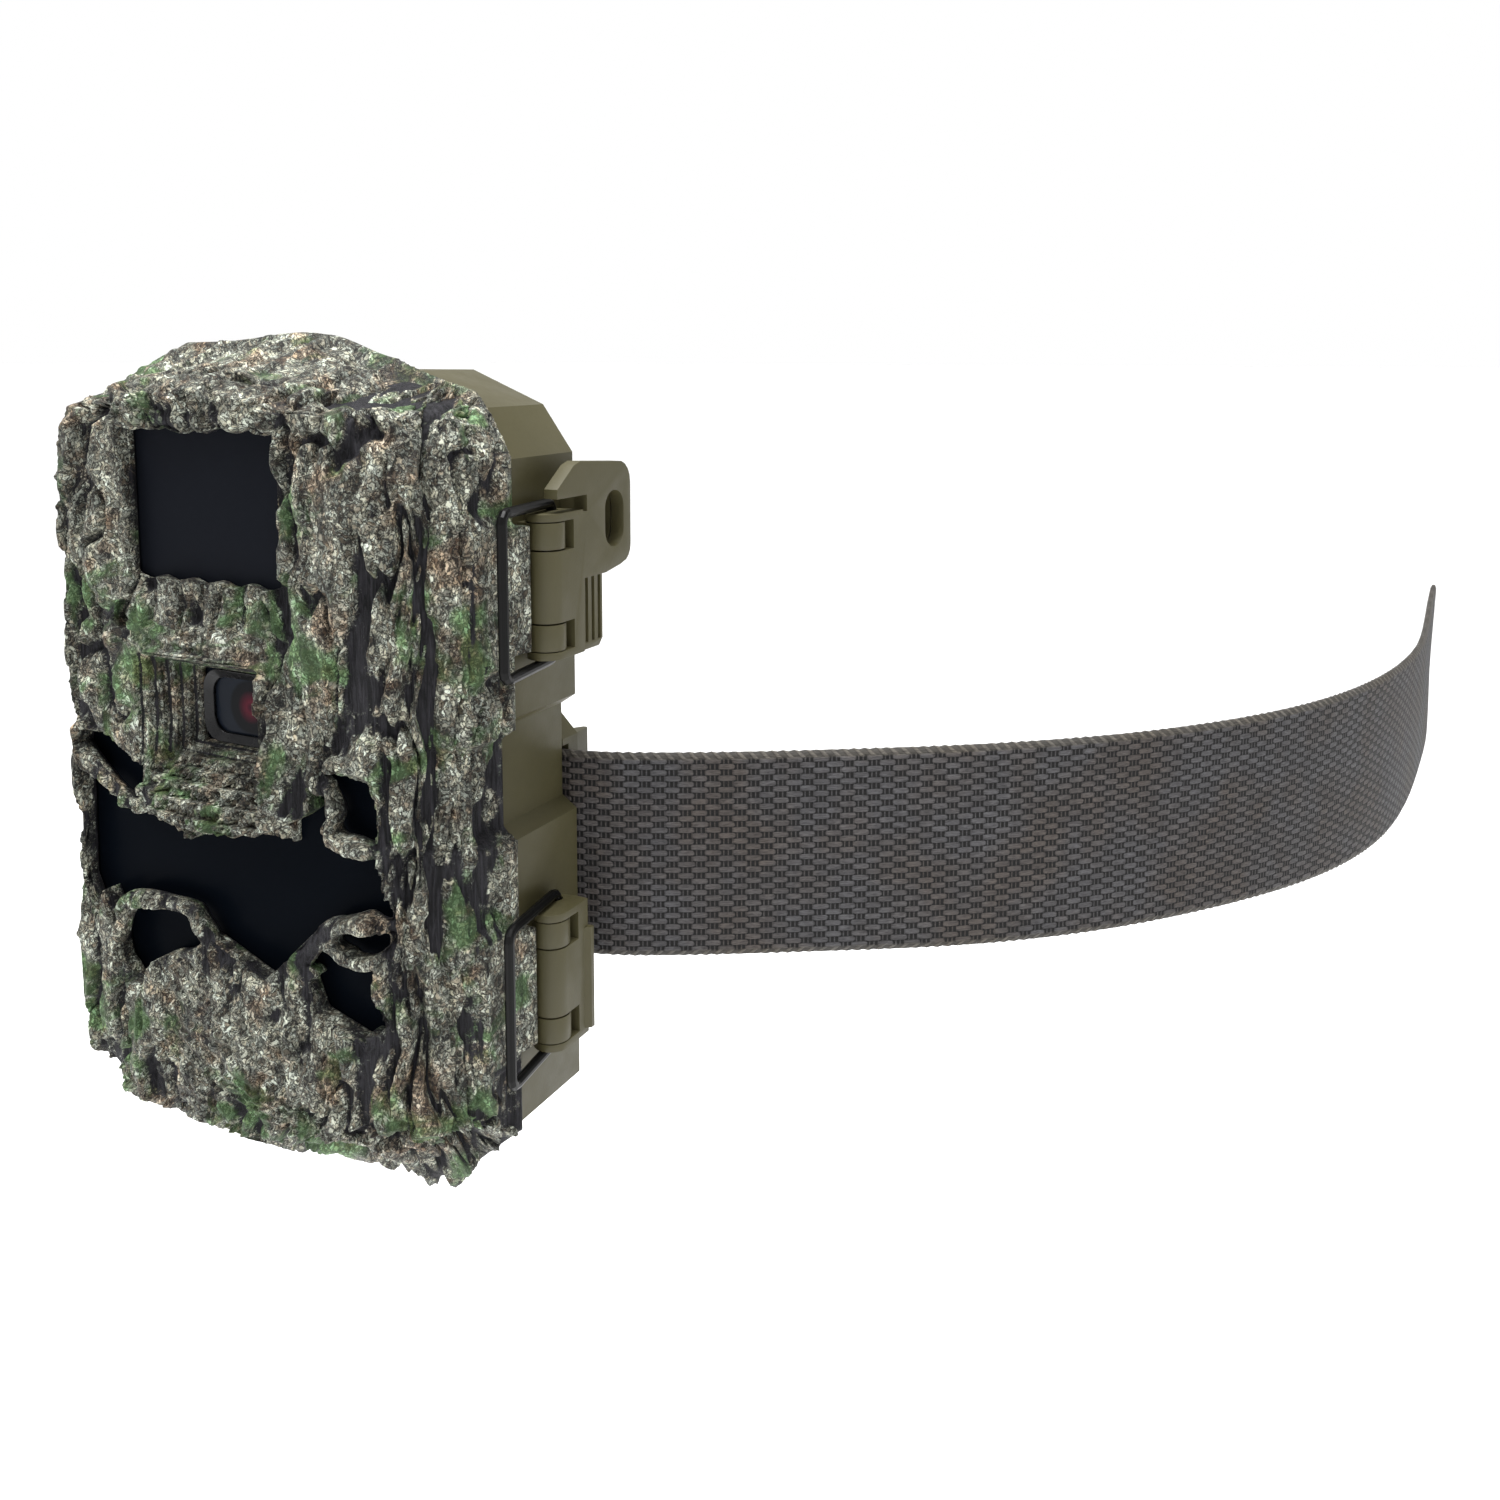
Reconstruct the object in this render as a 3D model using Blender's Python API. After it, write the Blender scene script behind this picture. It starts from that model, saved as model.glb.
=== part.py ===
"""Trail camera on a tree strap: hinged bark-relief front cover, rear case, two wire-bail latches.

Sizes below are in millimetres and the solids are made in metres. The frame is +Z up with the
lens looking along -Y. The origin is the middle of the bracket face that bears on the tree, at
the height of the strap's centre line. The door hinge is at -X and the latches are at +X.
"""

import math

import bmesh
import bpy
from mathutils import Vector

MM = 0.001
GAP = 0.3  # clearance between neighbouring solids
OVER = 1.0  # how far a cutter runs past the face that it opens
ROOT = 1.0  # how far an arm, a boss or a rib runs into the wall that carries it

# Case outline, seen from the front
CASE_W = 90.0
CASE_H = 142.0
CASE_MID_Z = 16.5  # middle of the case above the strap's centre line
ROOF_RUN, ROOF_DROP = 15.0, 6.0  # shallow slope at each end of the flat top
SHOULDER_RUN, SHOULDER_DROP = 6.0, 8.2  # steep slope between the roof and the side
FOOT_CHAMFER = 13.0
WAIST_Z = 19.4
WAIST_H = 17.0
WAIST_DEEP = 3.0
WAIST_RAMP = 2.0

# Depths, from the tree forward
BRACKET_D = 10.0
REAR_D = 20.5
CASE_WALL = 2.4
BACK_WALL = 2.2
SEAL_W = 2.2
SEAL_LEDGE = 3.0  # depth of the seal ledge behind the parting plane
SEAL_T = 1.8

# Front cover
RIM_PROUD = 2.0
CROWN = 3.0  # extra height of the bark above the roof
COVER_STRAIGHT = 9.5
COVER_D = 21.5
COVER_WALL = 2.2
FACE_SHRINK_X = 11.0
FACE_SHRINK_TOP = 5.0
FACE_SHRINK_FOOT = 11.0
PANEL_SET, IR_SET = 4.2, 2.1  # lower and upper window behind the cover's face
BROW_W, BROW_H, BROW_OUT, BROW_RISE = 46.0, 13.0, 3.5, 0.8
BROW_NARROW, BROW_LOWER = 5.0, 1.5  # how much its front edge draws in and lifts
HOOD_OUT = 4.0
HOOD_STEPS = (  # ahead of the cover's face, half width, reach below and above the lens
    (-1.5, 19.0, 20.5, 12.5),
    (2.4, 16.0, 16.5, 10.5),
    (HOOD_OUT, 12.5, 12.0, 8.5),
)
HOOD_CORNER = 4.0

# Windows and optics
IR_W, IR_H, IR_DROP = 33.0, 25.0, 21.5  # the middle lies that far below the case top
LENS_W, LENS_H, LENS_RISE, LENS_CORNER = 19.6, 13.0, 13.2, 3.6
LENS_TUBE_WALL = 2.0
PANE_T = 1.2
PANE_LAP = 1.5  # how far a pane reaches behind the edge of its opening
PANEL_MARGIN = 10.0  # from the case side to the openings over the lower window
PANEL_RISE, PANEL_FALL = 25.5, 22.0  # the lower window above and below its middle
PANEL_NOTCH_W, PANEL_NOTCH_RISE = 32.0, 18.5
WINDOW_DROP = 16.5  # the lower window's middle below the case's middle
SENSOR_X, SENSOR_DROP, SENSOR_R, SENSOR_L = -19.8, 20.0, 2.2, 5.0
LED_COLUMNS, LED_ROWS, LED_PITCH, LED_R, LED_H = 5, 4, 5.6, 1.5, 2.4
BARREL_R, BARREL_L, BARREL_WALL = 6.0, 4.2, 1.4
FLANGE_OUT, FLANGE_T = 1.6, 1.0
FILTER_W, FILTER_H, FILTER_T = 9.0, 7.0, 0.7
CHIP_W, CHIP_H, CHIP_PROUD = 7.2, 5.6, 0.5
IMAGE_BOARD_W, IMAGE_BOARD_H, IMAGE_BOARD_ROOM = 20.0, 18.0, 1.7
PIR_R, PIR_L = 4.6, 4.5
BOARD_T = 1.2
BOARD_MARGIN_X, BOARD_MARGIN_TOP, BOARD_MARGIN_FOOT, BOARD_CORNER = 8.0, 14.0, 16.0, 8.0
BOARD_CUTOUT = 1.0  # room round the image-sensor board

# Electronics behind the front cover
INNER_T = 1.5
INNER_SET = 0.6  # how far the inner panel's rear face lies ahead of the parting plane
LCD_W, LCD_H, LCD_DROP, LCD_T = 44.0, 30.0, 25.5, 1.2
LCD_BEZEL_X, LCD_BEZEL_Z = 3.0, 2.5
BUTTON_R, BUTTON_PITCH, BUTTON_DROP = 2.6, 7.5, 28.0
BUTTON_PROUD, BUTTON_BACKED, BUTTON_EDGE = 0.5, 0.7, 0.4
MENU_STEPS = 2.4  # the menu key's place beside the cross, in button pitches
SWITCH_X, SWITCH_DROP, SWITCH_TRAVEL = -20.0, 24.0, 8.0
SWITCH_KNOB_W, SWITCH_KNOB_H, SWITCH_PROUD = 6.0, 3.4, 0.8
SWITCH_GROOVE_W, SWITCH_GROOVE_DEEP, SWITCH_GROOVE_PITCH = 0.7, 0.5, 1.6
CARD_W, CARD_H, CARD_T, CARD_CORNER = 24.0, 32.0, 2.1, 4.0
CARD_X, CARD_RISE, CARD_IN, CARD_TRAVEL = 10.0, 44.5, 18.0, 4.0
CARD_BAY_SIDE, CARD_BAY_FOOT, CARD_BAY_TOP = 2.0, 3.0, 1.5
SOCKET_WALL, SOCKET_SIDE = 0.7, 1.2
USB_X, USB_RISE, USB_W, USB_H, USB_WALL, USB_DEEP = -22.0, 24.5, 8.0, 4.0, 0.7, 1.5

# Power
CELL_R, CELL_L, CELL_NUB_R, CELL_NUB_L = 7.1, 49.2, 2.7, 1.3
CELL_EDGE = 0.5
CELL_APART = 0.6
CELL_COLUMNS = 4
CONTACT_ROOM = 2.4  # between a cell's end and the tray wall
CONTACT_T, CONTACT_SIDE = 0.5, 1.0
CONTACT_HALF = 4.0
CONE_R, CONE_TIP_R, CONE_ROOT = 3.0, 1.6, 0.2
TRAY_T = 1.5
TRAY_OPEN = 1.2  # how far the cells stand out of the tray

# Latches and hinge
LATCH_UPPER_DROP, LATCH_LOWER_RISE = 35.4, 38.3  # from the case's top and foot
LATCH_OUT, LATCH_BACK = 3.7, 6.3  # lever pivot from the case side and behind the parting plane
KNUCKLE_R = 3.3
KNUCKLE_ARM = 2.8  # half thickness of the arm that carries a latch knuckle
STACK_HALF = 10.7  # half height of a latch's row of knuckles
LEVER_KNUCKLE_HALF = 6.0
PIN_R, PIN_CLEAR, PIN_TAPER = 1.25, 0.25, 0.5
LEVER_T = 2.6
LEVER_REACH = 6.6  # from the pivot to the rear edge of the lever plate
EAR_T, EAR_CLEAR, EAR_BOSS = 1.3, 0.2, 0.75
BAIL_R, BAIL_BEND, BAIL_CLEAR, BAIL_END = 0.9, 1.6, 0.21, 0.35
BAIL_PIVOT = (-1.5, 4.2)  # bail pivot from the lever pivot, outward and rearward
BAIL_FRONT = 7.3  # cross wire ahead of the parting plane
CATCH_OUT, CATCH_HALF, CATCH_FRONT, CATCH_BACK = 3.6, 10.5, 3.7, 2.4
LUG_TOP, LUG_LOW, LUG_EDGE = 20.4, 0.4, 2.4
LUG_CORNER_LOW, LUG_CORNER_TOP = 3.0, 4.0
LUG_HOLE_W, LUG_HOLE_H, LUG_HOLE_AFT, LUG_HOLE_RISE = 6.2, 10.0, 2.5, 9.6
CASE_LUG_EDGE, CASE_LUG_CORNER, CASE_LUG_ROOT = 3.0, 2.5, 4.0
GRIP_LOW, GRIP_REACH, GRIP_GROOVES = -12.2, 6.6, 3
GROOVE_W, GROOVE_PITCH, GROOVE_START, GROOVE_DEEP = 0.9, 2.0, 1.1, 1.2
LIP_OUT, LIP_BACK, LIP_FRONT = 0.9, 0.5, 2.2
HINGE_OUT = 5.0
HINGE_R = 2.6
HINGE_KNUCKLE = 7.0
HINGE_ARM, HINGE_ARM_COVER = 4.6, 5.6  # reach of the arms behind and ahead of the axis
HINGE_INSET = 35.5  # each hinge's middle from the case's top and foot

# Strap, bracket and buckle
STRAP_W, STRAP_T, STRAP_ROOM = 38.0, 1.6, 0.8
BRACKET_W, BRACKET_EDGE, BRACKET_CORNER = 84.0, 8.0, 6.0
BRACKET_PLATE = 3.0
PAD_W, PAD_CORNER = 22.0, 2.0
TOOTH_W, TOOTH_COUNT, TOOTH_TIP = 4.6, 3, 0.4
TOOTH_SET, TOOTH_STEP, TOOTH_LEAN = 0.6, 0.9, 1.4
SCREW_HEAD_R, SCREW_HEAD_H, SCREW_R, SCREW_SINK = 2.7, 1.8, 1.4, 1.2
SCREW_SLOT_HALF, SCREW_SLOT_DEEP, SCREW_SLOT_REACH, SCREW_EDGE = 0.4, 0.8, 1.9, 0.6
BUCKLE_AT = (-68.0, 4.5)
BUCKLE_WAY = (-0.86, 0.51)  # away from the case and towards the tree
BUCKLE_L = 30.0
BUCKLE_T = 1.6
BUCKLE_BASE, BUCKLE_BASE_START = 3.6, 5.2  # the base's inner face and front edge from the bar
BUCKLE_SIDE = 1.2
BUCKLE_CHEEK = 11.0
BUCKLE_BAR_R = 1.4
CAM_R, CAM_BACK, CAM_UP, CAM_SIDE = 3.2, 12.5, 3.6, 0.4
CAM_NOSE = ((-2.2, 3.8), (0.6, 4.0))
CAM_THUMB = ((0.0, -3.1), (14.0, -4.6), (14.0, -3.2), (1.0, -1.4))
TRIPOD_R, TRIPOD_BORE_R, TRIPOD_L, TRIPOD_WALL = 5.0, 3.2, 8.0, 2.0

# Places worked out from the sizes
SIDE = CASE_W / 2
CASE_TOP = CASE_MID_Z + CASE_H / 2
CASE_FOOT = CASE_MID_Z - CASE_H / 2
BACK_Y = -BRACKET_D
PART_Y = BACK_Y - REAR_D
COVER_BACK_Y = PART_Y - GAP
FACE_Y = PART_Y - COVER_D
PANEL_LEVEL = COVER_D - PANEL_SET  # windows' front faces ahead of the parting plane
IR_LEVEL = COVER_D - IR_SET
INNER_FRONT_Y = PART_Y - INNER_SET - INNER_T
INNER_BACK_Y = PART_Y - INNER_SET
IMAGE_BOARD_Y = INNER_FRONT_Y - IMAGE_BOARD_ROOM - BOARD_T
FILTER_Y = IMAGE_BOARD_Y - CHIP_PROUD - GAP - FILTER_T
BARREL_Y = FILTER_Y - GAP - BARREL_L
LENS_PANE_Y = BARREL_Y - GAP - PANE_T
SOCKET_T = CARD_T + 2 * SOCKET_WALL
MAIN_BOARD_Y = INNER_FRONT_Y - GAP - SOCKET_T - GAP - BOARD_T
IR_Z = CASE_TOP - IR_DROP
LENS_Z = CASE_MID_Z + LENS_RISE
WINDOW_Z = CASE_MID_Z - WINDOW_DROP
SENSOR_Z = IR_Z - SENSOR_DROP
PANEL_HALF = SIDE - PANEL_MARGIN
LCD_Z = CASE_TOP - LCD_DROP
BUTTON_Z = LCD_Z - BUTTON_DROP
SWITCH_Z = BUTTON_Z - SWITCH_DROP
CARD_TOP = CASE_FOOT + CARD_RISE
USB_Z = CASE_FOOT + USB_RISE
CELL_PITCH = 2 * CELL_R + CELL_APART
CELL_AXIS_Y = BACK_Y - BACK_WALL - GAP - TRAY_T - GAP - CELL_R
ROW_L = CELL_L + CELL_NUB_L
LATCH_ZS = {"upper": CASE_TOP - LATCH_UPPER_DROP, "lower": CASE_FOOT + LATCH_LOWER_RISE}
HINGE_ZS = {"upper": CASE_TOP - HINGE_INSET, "lower": CASE_FOOT + HINGE_INSET}
PIVOT = Vector((SIDE + LATCH_OUT, PART_Y + LATCH_BACK))
HINGE = Vector((-SIDE - HINGE_OUT, PART_Y))
PIN_HOLE_R = PIN_R + PIN_CLEAR
EAR_TOP = STACK_HALF + EAR_CLEAR + EAR_T
BAIL_HALF = EAR_TOP + GAP + BAIL_R
CATCH_X = SIDE + CATCH_OUT
LEVER_OUTER = PIVOT.x + KNUCKLE_R
LEVER_INNER = LEVER_OUTER - LEVER_T
LUG_HOLE_Y = BACK_Y + LUG_HOLE_AFT
LUG_HOLE_Z = LATCH_ZS["upper"] + LUG_HOLE_RISE
TRIPOD_Y = (PART_Y + SEAL_LEDGE + BACK_Y - BACK_WALL) / 2
STRAP_Y = BACK_Y + GAP + STRAP_T / 2
BRACKET_H = STRAP_W + 2 * BRACKET_EDGE
SCREW_Z = STRAP_W / 2 + STRAP_ROOM + SCREW_HEAD_R + 2 * GAP + 0.5
BUCKLE_HALF = STRAP_W / 2 + BUCKLE_SIDE

COLOURS = {
    "olive": ((0.115, 0.105, 0.065), 0.55, 0.0),
    "bark": ((0.20, 0.18, 0.14), 0.75, 0.0),
    "black_window": ((0.008, 0.009, 0.012), 0.18, 0.0),
    "lens_glass": ((0.05, 0.02, 0.06), 0.05, 0.0),
    "wire": ((0.01, 0.01, 0.01), 0.35, 0.6),
    "steel": ((0.55, 0.55, 0.55), 0.3, 1.0),
    "webbing": ((0.07, 0.062, 0.057), 0.85, 0.0),
    "rubber": ((0.02, 0.02, 0.02), 0.8, 0.0),
    "panel": ((0.03, 0.03, 0.03), 0.5, 0.0),
    "screen": ((0.02, 0.03, 0.04), 0.1, 0.0),
    "button": ((0.25, 0.25, 0.25), 0.5, 0.0),
    "board": ((0.02, 0.12, 0.05), 0.5, 0.0),
    "brass": ((0.6, 0.42, 0.15), 0.3, 1.0),
    "cell": ((0.30, 0.30, 0.31), 0.35, 0.6),
    "card": ((0.03, 0.06, 0.2), 0.4, 0.0),
}


def clear_scene():
    for obj in list(bpy.data.objects):
        bpy.data.objects.remove(obj, do_unlink=True)


def material(name):
    mat = bpy.data.materials.get(name)
    if mat:
        return mat
    colour, roughness, metallic = COLOURS[name]
    mat = bpy.data.materials.new(name)
    mat.use_nodes = True
    shader = mat.node_tree.nodes["Principled BSDF"]
    shader.inputs["Base Color"].default_value = (*colour, 1.0)
    shader.inputs["Roughness"].default_value = roughness
    shader.inputs["Metallic"].default_value = metallic
    mat.diffuse_color = (*colour, 1.0)
    return mat


# ---------------------------------------------------------------- outlines, as lists of (u, v)


def offset(points, distance):
    """Moves every edge of an anticlockwise outline outward by distance, keeping its corners."""
    count = len(points)
    moved = []
    for i in range(count):
        before = Vector(points[i - 1])
        here = Vector(points[i])
        after = Vector(points[(i + 1) % count])
        a = (here - before).normalized()
        b = (after - here).normalized()
        na, nb = Vector((a.y, -a.x)), Vector((b.y, -b.x))
        mitre = (na + nb) / (1.0 + na.dot(nb))
        moved.append(tuple(here + mitre * distance))
    return moved


def arc(centre, radius, start, end, steps):
    """Points along a circle from start to end, in degrees."""
    angles = [math.radians(start + (end - start) * i / steps) for i in range(steps + 1)]
    return [(centre[0] + radius * math.cos(t), centre[1] + radius * math.sin(t)) for t in angles]


def circle(centre, radius, steps):
    return arc(centre, radius, 0, 360 * (steps - 1) / steps, steps - 1)


def rectangle(u0, u1, v0, v1):
    return [(u0, v0), (u1, v0), (u1, v1), (u0, v1)]


def rounded(u0, u1, v0, v1, radius, steps=4):
    corners = [(u1 - radius, v0 + radius, -90), (u1 - radius, v1 - radius, 0)]
    corners += [(u0 + radius, v1 - radius, 90), (u0 + radius, v0 + radius, 180)]
    return [p for u, v, a in corners for p in arc((u, v), radius, a, a + 90, steps)]


def chamfered(u0, u1, v0, v1, cut):
    points = [(u0 + cut, v0), (u1 - cut, v0), (u1, v0 + cut), (u1, v1 - cut)]
    return points + [(u1 - cut, v1), (u0 + cut, v1), (u0, v1 - cut), (u0, v0 + cut)]


def hull(points):
    """Convex hull, anticlockwise."""
    ordered = sorted(set(points))

    def half(sequence):
        chain = []
        for p in sequence:
            while len(chain) > 1:
                a, b = chain[-2], chain[-1]
                if (b[0] - a[0]) * (p[1] - a[1]) - (b[1] - a[1]) * (p[0] - a[0]) > 1e-9:
                    break
                chain.pop()
            chain.append(p)
        return chain[:-1]

    return half(ordered) + half(reversed(ordered))


def case_outline(waist=WAIST_DEEP):
    """(x, z) of the case, anticlockwise seen from the front, with its waist."""
    waist_low, waist_top = WAIST_Z - WAIST_H / 2, WAIST_Z + WAIST_H / 2
    eave = SIDE - SHOULDER_RUN
    right = [
        (SIDE - FOOT_CHAMFER, CASE_FOOT),
        (SIDE, CASE_FOOT + FOOT_CHAMFER),
        (SIDE, waist_low - WAIST_RAMP),
        (SIDE - waist, waist_low),
        (SIDE - waist, waist_top),
        (SIDE, waist_top + WAIST_RAMP),
        (SIDE, CASE_TOP - ROOF_DROP - SHOULDER_DROP),
        (eave, CASE_TOP - ROOF_DROP),
        (eave - ROOF_RUN, CASE_TOP),
    ]
    return right + [(-x, z) for x, z in reversed(right)]


def cover_outline(grow, waist=WAIST_DEEP):
    """The case outline grown to the bark's rim, with the crown raised."""
    roof = CASE_TOP - ROOF_DROP - 1.0
    outline = offset(case_outline(waist), grow)
    return [(x, z + CROWN if z > roof else z) for x, z in outline]


def cover_ring(grow, ahead):
    """Outline of the cover at a depth ahead of the parting plane.

    Over its chamfer it shrinks towards the face, and the waist fades out.
    """
    share = max(0.0, (ahead - COVER_STRAIGHT) / (COVER_D - COVER_STRAIGHT))
    ring = []
    for x, z in cover_outline(grow, WAIST_DEEP * (1.0 - share)):
        narrow = 1.0 - share * FACE_SHRINK_X / SIDE
        edge = CASE_TOP if z > CASE_MID_Z else CASE_FOOT
        lift = FACE_SHRINK_TOP if z > CASE_MID_Z else FACE_SHRINK_FOOT
        short = 1.0 - share * lift / abs(edge - CASE_MID_Z)
        ring.append((x * narrow, CASE_MID_Z + (z - CASE_MID_Z) * short))
    return ring


# ---------------------------------------------------------------- solids


def make_object(name, mesh, colour):
    obj = bpy.data.objects.new(name, mesh)
    bpy.context.collection.objects.link(obj)
    obj.data.materials.append(material(colour))
    return obj


def loft(name, rings, colour="olive"):
    """A closed solid through rings of 3-D points in mm, each ring with the same point count."""
    bm = bmesh.new()
    loops = [[bm.verts.new(Vector(p) * MM) for p in ring] for ring in rings]
    for low, high in zip(loops, loops[1:]):
        for i in range(len(low)):
            j = (i + 1) % len(low)
            bm.faces.new((low[i], low[j], high[j], high[i]))
    bm.faces.new(list(reversed(loops[0])))
    bm.faces.new(loops[-1])
    bmesh.ops.recalc_face_normals(bm, faces=bm.faces)
    mesh = bpy.data.meshes.new(name)
    bm.to_mesh(mesh)
    bm.free()
    return make_object(name, mesh, colour)


def prism_y(name, outline, y0, y1, colour="olive"):
    return loft(name, [[(u, y, v) for u, v in outline] for y in (y0, y1)], colour)


def prism_z(name, outline, z0, z1, colour="olive"):
    return loft(name, [[(u, v, z) for u, v in outline] for z in (z0, z1)], colour)


def prism_x(name, outline, x0, x1, colour="olive"):
    return loft(name, [[(x, u, v) for u, v in outline] for x in (x0, x1)], colour)


def turned_y(name, x, z, profile, colour, steps=24):
    """A round solid on an axis along Y, from (y, radius) steps."""
    rings = [[(x + u, y, z + v) for u, v in circle((0, 0), r, steps)] for y, r in profile]
    return loft(name, rings, colour)


def turned_z(name, x, y, profile, colour, steps=24):
    rings = [[(x + u, y + v, z) for u, v in circle((0, 0), r, steps)] for z, r in profile]
    return loft(name, rings, colour)


def tube_along(name, path, radius, colour, sides=10):
    """A round bar swept along 3-D points in mm."""
    points = [Vector(p) for p in path]
    side = None
    rings = []
    for i, here in enumerate(points):
        ahead = points[min(i + 1, len(points) - 1)] - points[max(i - 1, 0)]
        ahead.normalize()
        if side is None:
            side = ahead.orthogonal().normalized()
        side = (side - ahead * side.dot(ahead)).normalized()
        other = ahead.cross(side)
        angles = [2 * math.pi * k / sides for k in range(sides)]
        rings.append([here + (side * math.cos(t) + other * math.sin(t)) * radius for t in angles])
    return loft(name, rings, colour)


def smooth(obj, degrees=35):
    obj.data.shade_smooth()
    obj.data.set_sharp_from_angle(angle=math.radians(degrees))
    return obj


def combine(obj, operation, others):
    """Adds Boolean modifiers for others, which become hidden helpers."""
    for other in others:
        other.hide_render = True
        other.display_type = "WIRE"
        step = obj.modifiers.new(other.name, "BOOLEAN")
        step.operation = operation
        step.solver = "EXACT"
        step.object = other
    return obj


def add(obj, *others):
    return combine(obj, "UNION", others)


def cut(obj, *others):
    return combine(obj, "DIFFERENCE", others)


def pivot_at(obj, x, y, z):
    """Moves the object's origin to its joint axis and leaves its shape where it is."""
    point = Vector((x, y, z)) * MM
    for vertex in obj.data.vertices:
        vertex.co -= point
    obj.location = point
    return obj


def pin(name, x, y, z0, z1):
    """A plain pin with a tapered lower end."""
    profile = [(z0, PIN_R * 0.8), (z0 + PIN_TAPER, PIN_R), (z1, PIN_R)]
    return smooth(turned_z(name, x, y, profile, "steel"))


# ---------------------------------------------------------------- rear case


def knuckle(name, centre, radius, wall_x, low, high, z0, z1):
    """A hinge knuckle and the arm that joins it to a wall, between low and high about the axis."""
    end = circle(tuple(centre), radius, 24)
    slack = 0.01
    near = [p for p in end if low - slack <= p[1] - centre.y <= high + slack]
    root = [(wall_x, centre.y + low), (wall_x, centre.y + high)]
    arm = prism_z(f"{name}_arm", hull(near + root + [tuple(centre)]), z0, z1)
    return prism_z(name, end, z0, z1), arm


def lug_hole(name, x0, x1):
    """The padlock hole through the upper lever's lug and the case lug behind it."""
    half_w, half_h = LUG_HOLE_W / 2, LUG_HOLE_H / 2
    low_z, high_z = LUG_HOLE_Z - half_h, LUG_HOLE_Z + half_h
    oval = rounded(LUG_HOLE_Y - half_w, LUG_HOLE_Y + half_w, low_z, high_z, half_w * 0.98, 6)
    return prism_x(name, oval, x0, x1)


def latch_knuckles(case, label, z):
    """The two case knuckles of a latch, above and below the lever's, and their bore."""
    inner, outer = LEVER_KNUCKLE_HALF + GAP, STACK_HALF
    for part, low, high in (("top", inner, outer), ("foot", -outer, -inner)):
        name = f"case_knuckle_{label}_{part}"
        arm = (SIDE - ROOT, -KNUCKLE_ARM, KNUCKLE_ARM)
        add(case, *knuckle(name, PIVOT, KNUCKLE_R, *arm, z + low, z + high))
    hole = circle(tuple(PIVOT), PIN_HOLE_R, 16)
    cut(case, prism_z(f"latch_bore_{label}", hole, z - outer - OVER, z + outer + OVER))


def hinge_knuckles(case, label, z):
    """The two case knuckles of a door hinge, above and below the cover's, and their bore."""
    for side in (-1, 1):
        middle = z + side * (HINGE_KNUCKLE + GAP)
        low, high = middle - HINGE_KNUCKLE / 2, middle + HINGE_KNUCKLE / 2
        name = f"case_hinge_{label}_{side}"
        arm = (ROOT - SIDE, 0.0, HINGE_ARM)
        add(case, *knuckle(name, HINGE, HINGE_R, *arm, low, high))
    reach = HINGE_KNUCKLE * 1.5 + GAP + OVER
    hole = circle(tuple(HINGE), PIN_HOLE_R, 16)
    cut(case, prism_z(f"hinge_bore_{label}", hole, z - reach, z + reach))


def case_lug(case):
    """The lug on the case that the padlock joins to the upper lever's."""
    reach_w, reach_h = LUG_HOLE_W / 2 + CASE_LUG_EDGE, LUG_HOLE_H / 2 + CASE_LUG_EDGE
    low_y, high_y = BACK_Y - CASE_LUG_ROOT, LUG_HOLE_Y + reach_w
    low_z, high_z = LUG_HOLE_Z - reach_h, LUG_HOLE_Z + reach_h
    plate = chamfered(low_y, high_y, low_z, high_z, CASE_LUG_CORNER)
    add(case, prism_x("case_lug", plate, SIDE - CASE_WALL, LEVER_INNER - GAP))
    cut(case, lug_hole("case_lug_hole", SIDE - 2.0 * CASE_WALL, LEVER_INNER + OVER))


def rear_case():
    case = prism_y("rear_case", case_outline(), PART_Y, BACK_Y)
    mouth = offset(case_outline(), -CASE_WALL)
    well = offset(case_outline(), -CASE_WALL - SEAL_W - GAP)
    ledge_y = PART_Y + SEAL_LEDGE
    floor_y = BACK_Y - BACK_WALL
    cut(case, prism_y("case_mouth", mouth, PART_Y - OVER, ledge_y))
    cut(case, prism_y("case_well", well, ledge_y - OVER, floor_y))
    for label, z in LATCH_ZS.items():
        latch_knuckles(case, label, z)
    for label, z in HINGE_ZS.items():
        hinge_knuckles(case, label, z)
    case_lug(case)
    boss = circle((0.0, TRIPOD_Y), TRIPOD_R + GAP + TRIPOD_WALL, 24)
    boss_top = CASE_FOOT + TRIPOD_L + TRIPOD_WALL
    add(case, prism_z("tripod_boss", boss, CASE_FOOT + ROOT / 2, boss_top))
    socket = circle((0.0, TRIPOD_Y), TRIPOD_R + GAP, 24)
    cut(case, prism_z("tripod_socket", socket, CASE_FOOT - OVER, CASE_FOOT + TRIPOD_L + GAP))
    for number, z in enumerate((SCREW_Z, -SCREW_Z)):
        hole = circle((0.0, z), SCREW_R + GAP, 16)
        cut(case, prism_y(f"case_screw_hole_{number}", hole, floor_y - OVER, BACK_Y + OVER))
    return case


def case_seal():
    """Rubber gasket on the ledge inside the mouth of the rear case."""
    outer = offset(case_outline(), -CASE_WALL - GAP)
    inner = offset(case_outline(), -CASE_WALL - SEAL_W)
    back = PART_Y + SEAL_LEDGE - GAP
    seal = prism_y("case_seal", outer, back - SEAL_T, back, "rubber")
    return cut(seal, prism_y("seal_inside", inner, back - SEAL_T - OVER, back + OVER))


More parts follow.
